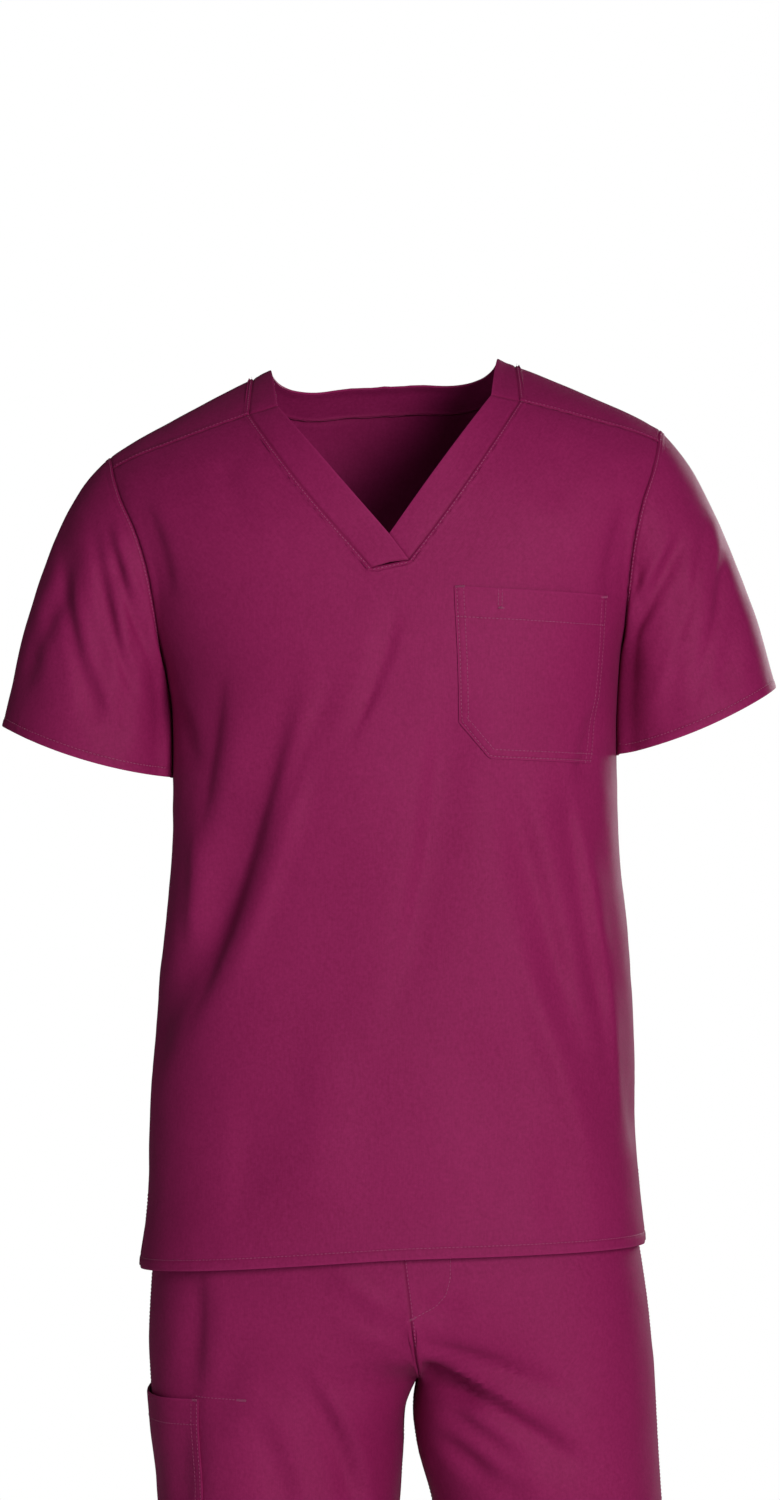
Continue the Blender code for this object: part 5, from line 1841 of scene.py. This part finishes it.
    def v_band(self, name: str, hand: int, column: int, area: float) -> tuple:
        """A band of the V, the wearer's right one lapped over the other.

        Args:
            name: Its node.
            hand: Its side, -1 or 1.
            column: Column of the front that it is sewn to.
            area: Area of its cut.

        Returns:
            The piece, its stitches or None, and the area of its cut.
        """
        form = self.form
        edge_top = form.ridge_z(form.neck_edge_front_x) - form.edge_drop_neck
        seam_x, seam_z = self.front_lay[:2, self.v_row:, column]
        share = way(seam_z, seam_z[0], seam_z[-1])
        edge_x = mix(0.0, form.neck_edge_front_x, share)
        end_z = form.v_tip_z
        if hand < 0:
            end_z = form.v_bottom(1)
            reach = way(form.v_tip_z, end_z, edge_top)
            beyond = mix(0.0, -form.neck_edge_front_x, way(share, reach, 1.0))
            edge_x = np.where(share < reach, mix(form.v_bottom_half, 0.0, share / reach), beyond)
        seam_path = form.path_of(form.ridge_z(seam_x) - seam_z)
        edge_path = form.path_of(form.ridge_z(edge_x) - mix(end_z, edge_top, share))
        x, z, _ = self.band_places((seam_x, seam_path), (edge_x, edge_path), 0.0275)
        panel = Panel(name, form.outside(x, z, FRONT), "top", (0.0, 0.03, -0.2))
        panel.extra += self.band_wall
        seam, free, top, low = panel.edges(*side_lines(), LAST_ROW, FIRST_ROW)
        panel.sew(Finish.SEAM, 0.0, 2.0 + hand, seam)
        panel.sew(Finish.FOLDED, 0.0, 3.0 + hand, free)
        panel.sew(Finish.SEAM, 0.0, 4.0 + hand, top, low)
        panel.lift += (0.0007 if hand < 0 else -0.0005) * smooth(1.0 - share / 0.22)[:, None]
        panel.settle()
        return self.hand_in(panel, (0.235, 0.032), area)

    def band_places(self, seam: tuple, edge: tuple, width: float) -> tuple:
        """Lays out a band.

        Args:
            seam: Places across and paths of its seam.
            edge: The same of its free edge.
            width: Its width.

        Returns:
            Places across, heights and paths.
        """
        steps = self.band_pitch, self.tight[:5]
        x, path = mix(*np.array([seam, edge])[..., None], spread(width, *steps))
        return x, self.form.ridge_z(x) - self.form.drop_of(path), path

    def back_band(self) -> tuple:
        """The band over the shoulders and round the back of the neck.

        Returns:
            The piece, its stitches or None, and the area of its cut.
        """
        form = self.form
        first, last, ridge = self.neck_first, self.neck_last, self.ridge_row
        flap = np.arange(ridge + 1, self.back_lay.shape[1])
        neck = np.arange(first, last + 1)
        rows = np.concatenate([flap[::-1], np.full_like(neck, ridge), flap])
        columns = np.concatenate([np.full_like(flap, first), neck, np.full_like(flap, last)])
        seam_x, seam_z, seam_side = self.back_lay[:, rows, columns]
        seam_path = form.path_of(form.ridge_z(seam_x) - seam_z) * -seam_side
        front_share = np.clip(seam_path / form.path_of(form.seam_drop_neck), 0.0, 1.0)
        back_share = np.clip(-seam_path / form.neck_seam_reach, 0.0, 1.0)
        edge_x = np.sign(seam_x) * mix(form.neck_edge_x, form.neck_edge_front_x, front_share)
        edge_x = np.where(seam_side > 0, seam_x / form.neck_seam_x * form.neck_edge_x, edge_x)
        edge_path = front_share * form.path_of(form.edge_drop_neck)
        edge_path = edge_path - back_share * form.neck_edge_reach
        x, z, path = self.band_places((seam_x, seam_path), (edge_x, edge_path), 0.024)
        points = form.outside(x, z, np.where(path > 0, FRONT, BACK))
        panel = Panel("neckband_back", points, "top", (0.0, 0.01, -0.2))
        panel.extra += self.band_wall
        seam, free, *ends = panel.edges(*side_lines(), FIRST_ROW, LAST_ROW)
        panel.sew(Finish.SEAM, 0.0, 1.0, seam)
        panel.sew(Finish.FOLDED, 0.0, 2.0, free)
        panel.sew(Finish.SEAM, 0.0, 3.0, *ends)
        panel.settle()
        return self.hand_in(panel, (0.42, 0.032), 0.0108)

    def pocket(self) -> tuple:
        """The chest pocket: a patch with a hem band, a pen slot and one clipped corner.

        Returns:
            The piece, its stitches or None, and the area of its cut.
        """
        across, down = (spread(size, self.pocket_pitch, self.tight[:7])
                        for size in self.pocket_size)
        clip = np.clip(1.0 - across / self.pocket_clip_across, 0.0, 1.0)
        down = down[:, None] * (1.0 - self.pocket_clip_up * clip)
        top, bottom = (np.array(corners)[:, :, None, None]
                       for corners in (self.pocket_top, self.pocket_bottom))
        x, z = mix(mix(*top, across), mix(*bottom, across), down)
        panel = Panel("chest_pocket", self.form.outside(x, z, FRONT), "top", (0.0, 0.03, -0.25))
        belly = np.sin(across * math.pi) * np.sin((1.0 - down * 0.75) * math.pi / 2)
        panel.lift += 0.0015 + 0.0011 * np.abs(belly)
        top_edge = self.patch(panel, self.pocket_band, 0.0072, 0.0045)
        self.pen_slot(panel, top_edge)
        return self.hand_in(panel, (0.140, 0.165), 0.0195)

    def pen_slot(self, panel: Panel, top: Edge) -> None:
        """Parts off a slot for a pen with two rows and a tack.

        Args:
            panel: The settled pocket.
            top: Its top edge.
        """
        steps = np.linalg.norm(top.points - top.points[0], axis=1)
        inward = top.inward[len(top.inward) // 3]
        for off in self.pen_rows:
            start = read_at(off, steps, top.points)
            line = np.array([start + inward * 0.001, start + inward * self.pen_length])
            self.sewing.row(panel.on_surface(resample(line, LINE_PITCH)), self.pen_pitch)
        place, normal = panel.on_surface((start + inward * 0.015)[None, :])
        self.sewing.tack(place[0], top.points[-1] - top.points[0], normal[0], 0.005)


# --- the trousers ---

@dataclass
class LegForm:
    """The surface of the trousers: two legs that join at a fork."""

    tilt: float = 0.05
    fork_top_z: float = -0.730
    crotch_z: float = -0.811
    fork_power: float = 4.0
    split_top_z: float = -0.700
    split_end_z: float = -0.900
    hold_start: float = 0.45
    hold_end: float = 0.95

    def stand(self, points: Array) -> Array:
        """Tilts the trousers into the standing pose."""
        z = points[..., 2] + self.tilt * points[..., 0]
        return np.stack([points[..., 0], points[..., 1], z], axis=-1)

    def point(self, leg: str, face: float, share: Array, z: Array) -> Array:
        """Points of a trouser panel, before it is tilted.

        Args:
            leg: "right" or "left".
            face: FRONT or BACK.
            share: Place across, 0 at the outseam and 1 at the other seam.
            z: Heights.

        Returns:
            The points.
        """
        outer = LEG.at("outer_" + leg, z)
        inner = np.where(z < self.crotch_z, LEG.at("inner_" + leg, z), LEG.at("inner_right", z))
        depth = LEG.at("front" if face < 0 else "back", z)
        power = LEG.at("power", z)
        turn = np.cos(share * math.pi)
        out = (1.0 + np.sign(turn) * np.abs(turn) ** (2.0 / power)) / 2
        body_reach = (1.0 - np.clip(out, 0.0, 1.0) ** power) ** (1.0 / power)
        leg_reach = np.abs(np.sin(share * math.pi)) ** (2.0 / power)
        fork = np.clip(way(z, self.fork_top_z, self.crotch_z), 0.0, 1.0)
        split = smooth(way(z, self.split_top_z, self.split_end_z))
        hold = smooth(way(share, self.hold_start, self.hold_end))
        leg_share = mix(split, 1.0 - np.sqrt(1.0 - fork**self.fork_power), hold)
        y = LEG.at("middle", z) + face * depth * mix(body_reach, leg_reach, leg_share)
        return np.stack(np.broadcast_arrays(mix(inner, outer, out), y, z), axis=-1)

    def outside(self, leg: str, face: float, share: Array, z: Array) -> Array:
        """Standing points of the outside, as for point, with the large folds pressed in."""
        base = self.point(leg, face, share, z)
        return self.stand(press_folds(base, core(base), ["trousers"], 1.0 - share**6))


@dataclass
class ScrubTrousers(Garment):
    """The trousers: four leg panels, the waistband and the cargo pocket."""

    form: LegForm
    pitch: float = 0.0046
    waist_z: float = -0.575
    band_z: float = -0.615
    band_wall: float = 0.0016
    band_pitch: float = 0.003
    band_quarter: float = 0.27
    band_rows: tuple = (0.0030, 0.0020)
    gather: float = 0.0006
    hem_z: float = -1.597
    hem_depth: float = 0.022
    lap: float = 0.0030
    inner_row: float = 0.0076
    half_leg: float = 0.26
    fly_curve: tuple = ((0.0520, -0.6960), (0.0515, -0.7200), (0.0480, -0.7330), (0.0400, -0.7420),
                        (0.0215, -0.7515))
    pocket_bag_line: tuple = ((-0.1480, -0.8160), (-0.1110, -0.8165))
    cargo_top_z: float = -0.811
    cargo_bottom_z: float = -1.010
    cargo_share: float = 0.30
    cargo_band: float = 0.020

    def build(self) -> list:
        """Builds the trousers.

        Returns:
            Their pieces, each with its stitches or None and the area of its cut.
        """
        upper = spread(self.band_z - self.form.crotch_z, self.pitch, self.tight, end=False)
        lower = spread(self.form.crotch_z - self.hem_z, self.pitch, self.tight, start=False)
        self.heights = np.concatenate([mix(self.band_z, self.form.crotch_z, upper),
                                       mix(self.form.crotch_z, self.hem_z, lower[1:])])
        self.crotch_row = len(upper) - 1
        self.lines = (Line.column(0, 1), Line.column(-1, -1, np.s_[:self.crotch_row + 1]),
                      Line.column(-1, -1, np.s_[self.crotch_row:]))
        self.edges = {}
        panels = {(face, hand): self.leg_panel(face, hand) for hand in ("right", "left")
                  for face in ("front", "back")}
        self.join(panels)
        pieces = [self.sewn_leg(panel) for panel in panels.values()]
        return pieces + [self.waistband(), self.cargo_pocket()]

    def join(self, panels: dict) -> None:
        """Bridges the seams between the leg panels from behind.

        Args:
            panels: The settled panels, by face and hand.
        """
        out, rise, inseam = self.lines
        seams = [((face, "right"), (face, "left"), rise) for face in ("front", "back")]
        seams += [(("front", hand), ("back", hand), line)
                  for line in (inseam, out) for hand in ("right", "left")]
        for first, second, line in seams:
            strip = seam_bridge(panels[first].seam_edge(line), panels[second].seam_edge(line))
            panels[first].strips.append(strip)

    def leg_panel(self, face_name: str, leg: str) -> Panel:
        """One of the four leg panels, shaped and settled.

        Args:
            face_name: "front" or "back".
            leg: "right" or "left".

        Returns:
            The panel.
        """
        face = FRONT if face_name == "front" else BACK
        z = self.heights[:, None]
        points = self.ease_fork(self.form.outside(leg, face, self.even_shares(leg, face, z), z))
        panel = Panel(f"leg_{face_name}_{leg}", points, "trousers", core(points))
        out, rise, inseam, hem, top = panel.edges(*self.lines, LAST_ROW, FIRST_ROW)
        seam = (Finish.LAPPED, self.lap) if face > 0 else (Finish.SEAM, 0.0)
        panel.sew(*seam, 1.0, out, inseam, rise)
        panel.sew(Finish.SEAM, 0.0, 4.0, top)
        panel.sew(Finish.HEM, self.hem_depth, 5.0, hem)
        panel.settle()
        self.edges[panel.name] = (out, rise, inseam, hem)
        return panel

    def ease_fork(self, points: Array) -> Array:
        """Softens the cloth beside the fork.

        Args:
            points: A leg panel's grid.

        Returns:
            The softened grid.
        """
        steps = np.arange(points.shape[1])[::-1]
        rows = bell(np.arange(points.shape[0]) - self.crotch_row, 6.0)
        weight = (rows[:, None] * smooth((steps - 7) / 9.0))[1:-1, :, None] * 0.5
        points = points.copy()
        for _ in range(30):
            points[1:-1] += ((points[:-2] + points[2:]) / 2 - points[1:-1]) * weight
        return points

    def even_shares(self, leg: str, face: float, z: Array) -> Array:
        """Shares across, even steps of cloth apart and closer near the seams.

        Args:
            leg: "right" or "left".
            face: FRONT or BACK.
            z: Heights of the rows.

        Returns:
            Shares for each row.
        """
        wanted = spread(self.half_leg, self.pitch, self.tight)
        fine = 0.5 - 0.5 * np.cos(np.linspace(0.0, math.pi, 500))
        steps = np.linalg.norm(np.diff(self.form.point(leg, face, fine, z), axis=1), axis=-1)
        travelled = np.cumsum(steps, axis=1) / steps.sum(axis=1, keepdims=True)
        return np.array([np.interp(wanted, np.append(0.0, row), fine) for row in travelled])

    def sewn_leg(self, panel: Panel) -> tuple:
        """Sews the stitches of a leg panel and makes its piece.

        Args:
            panel: The settled panel.

        Returns:
            The piece, its stitches or None, and the area of its cut.
        """
        out, rise, inseam, hem = self.edges[panel.name]
        back = "back" in panel.name
        self.sewing.rows(panel, {self.hem_depth: [hem]})
        if back:
            self.sewing.rows(panel, {TOPSTITCH: [rise, out, inseam], self.inner_row: [out, inseam]})
        if panel.name == "leg_front_left":
            fly_top = self.form.fork_top_z - 0.045
            points, normals = line = panel.front_line(*self.fly_curve)
            self.sewing.row(line)
            self.sewing.tack(points[-1], points[-2] - points[-1], normals[-1], TACK)
            self.sewing.rows(panel, {TOPSTITCH: [rise.part(rise.points[:, 2] > fly_top)]})
        if panel.name == "leg_front_right":
            points, normals = line = panel.front_line(*self.pocket_bag_line)
            self.sewing.row(line)
            self.sewing.tack(points[-1], points[-1] - points[-2], normals[-1], 0.008)
        return self.hand_in(panel, (0.36, 1.04), 0.280 if back else 0.272)

    def waistband(self) -> tuple:
        """The band at the waist, under the top, gathered a little by its elastic.

        Returns:
            The piece, its stitches or None, and the area of its cut.
        """
        drop = spread(self.waist_z - self.band_z, self.band_pitch, self.tight[:6])
        z = mix(self.waist_z, self.band_z, drop)[:, None]
        quarter = spread(self.band_quarter, self.pitch, self.tight[:1])
        there, back = quarter, quarter[::-1]
        around = (("right", BACK, there), ("left", BACK, back), ("left", FRONT, there),
                  ("right", FRONT, back))
        blocks = [self.form.point(leg, face, shares, z) for leg, face, shares in around]
        points = np.concatenate([blocks[0], *(block[:, 1:] for block in blocks[1:])], axis=1)
        panel = Panel("waistband", self.form.stand(points), "waist", (0.0, 0.01, -0.6),
                      self.band_wall)
        top, low = panel.edges(FIRST_ROW, LAST_ROW)
        steps = np.arange(points.shape[1])
        gather = np.sin(steps * 1.9) * 0.5 + np.sin(steps * 0.83)
        panel.lift += self.gather * gather * np.sin(drop * math.pi)[:, None]
        panel.sew(Finish.FOLDED, self.band_rows[0], 1.0, top)
        panel.sew(Finish.SEAM, 0.0, 2.0, low)
        panel.settle()
        self.sewing.rows(panel, {self.band_rows[0]: [top], self.band_rows[1]: [low]})
        return self.hand_in(panel, (1.02, 0.042), 0.0425)

    def cargo_pocket(self) -> tuple:
        """The patch pocket astride the wearer's right outseam.

        Returns:
            The piece, its stitches or None, and the area of its cut.
        """
        down = spread(self.cargo_top_z - self.cargo_bottom_z, 0.004, self.tight)
        z = mix(self.cargo_top_z, self.cargo_bottom_z, down)[:, None]
        shares = spread(0.09, 0.0036, self.tight, start=False) * self.cargo_share
        front = self.form.outside("right", FRONT, shares[None, ::-1], z)
        back = self.form.outside("right", BACK, shares[None, 1:], z)
        points = np.concatenate([front, back], axis=1)
        panel = Panel("cargo_pocket", points, "trousers", (-0.09, 0.01, -0.9))
        belly = np.sin(np.linspace(0, 1, points.shape[1]) * math.pi)
        belly = belly * np.sin((1.0 - down * 0.7) * math.pi / 2)[:, None]
        panel.lift += 0.0017 + 0.0020 * belly
        self.patch(panel, self.cargo_band, 0.0074, 0.0046)
        return self.hand_in(panel, (0.20, 0.225), 0.0437)


# --- studio ---

class Lamp(NamedTuple):
    """A soft rectangular light, its size as width and height."""

    name: str
    place: tuple
    target: tuple
    size: tuple
    power: float


@dataclass
class Studio:
    """Camera, soft lights and the pale floor."""

    distance: float = 3.3333
    aim_x: float = 0.0048
    aim_z: float = -0.3096
    lens: float = 100.0
    floor_radius: float = 3.4
    floor_gap: float = 0.001
    haze: float = 0.06
    lamps: tuple = (
        Lamp("key", (1.15, -2.6, 0.05), (0.0, 0.0, -0.45), (0.8, 1.1), 64.0),
        Lamp("fill", (-2.2, -2.4, -0.6), (0.0, 0.0, -0.6), (1.4, 1.6), 12.0),
        Lamp("top", (0.1, -1.4, 1.5), (0.0, 0.0, -0.1), (1.2, 0.8), 4.0),
        Lamp("back", (1.9, 2.9, 0.4), (0.0, 0.0, -0.6), (0.9, 1.2), 75.0),
    )

    def build(self) -> None:
        """Sets up the studio."""
        self.camera()
        self.floor()
        for lamp in self.lamps:
            self.light(lamp)
        bench = NodeBench(bpy.data.worlds.new("studio_air"))
        seen = bench.wire(bench.node("ShaderNodeLightPath"), "Is Camera Ray")
        strength = seen * (1.0 - self.haze) + self.haze
        white = (1.0,) * 4
        bpy.context.scene.world = bench.finish({"Color": white, "Strength": strength})
        bpy.context.scene.view_settings.view_transform = "Standard"

    def camera(self) -> None:
        """Places the camera, square to the front."""
        data = bpy.data.cameras.new("camera")
        data.lens = self.lens
        camera = add_object("camera", data)
        camera.location = (self.aim_x, -self.distance, self.aim_z)
        camera.rotation_euler = (math.pi / 2, 0.0, 0.0)
        bpy.context.scene.camera = camera

    def light(self, lamp: Lamp) -> None:
        """Hangs a light.

        Args:
            lamp: What it is.
        """
        data = bpy.data.lights.new(lamp.name, "AREA")
        data.shape = "RECTANGLE"
        data.size, data.size_y = lamp.size
        data.energy = lamp.power
        light = add_object(lamp.name, data)
        light.location = lamp.place
        aim = Vector(lamp.target) - Vector(lamp.place)
        light.rotation_euler = aim.to_track_quat("-Z", "Y").to_euler()

    def floor(self) -> None:
        """A round floor just under the hems."""
        height = CAD_BOX[0][2] - self.floor_gap
        points = [(math.cos(turn) * self.floor_radius, math.sin(turn) * self.floor_radius, height)
                  for turn in np.linspace(0.0, 2.0 * math.pi, 96, endpoint=False)]
        floor = add_mesh("floor", points, [tuple(range(len(points)))], FloorFinish().material())


def main() -> None:
    """Builds the set and its studio, and reports each piece."""
    logging.basicConfig(level=logging.INFO, format="%(name)s: %(message)s")
    cloth = ClothFinish().material()
    sewing = Sewing(ThreadFinish().material())
    pieces = ScrubTop(TopForm(), cloth, sewing).build()
    pieces += ScrubTrousers(LegForm(), cloth, sewing).build()
    Studio().build()
    for piece, stitches, area in pieces:
        sewn = len(stitches.data.polygons) if stitches is not None else 0
        faces = len(piece.data.polygons)
        log.info("%s: %d faces, %d faces of stitches, %.4f m2 cut", piece.name, faces, sewn, area)


if __name__ == "__main__":
    main()
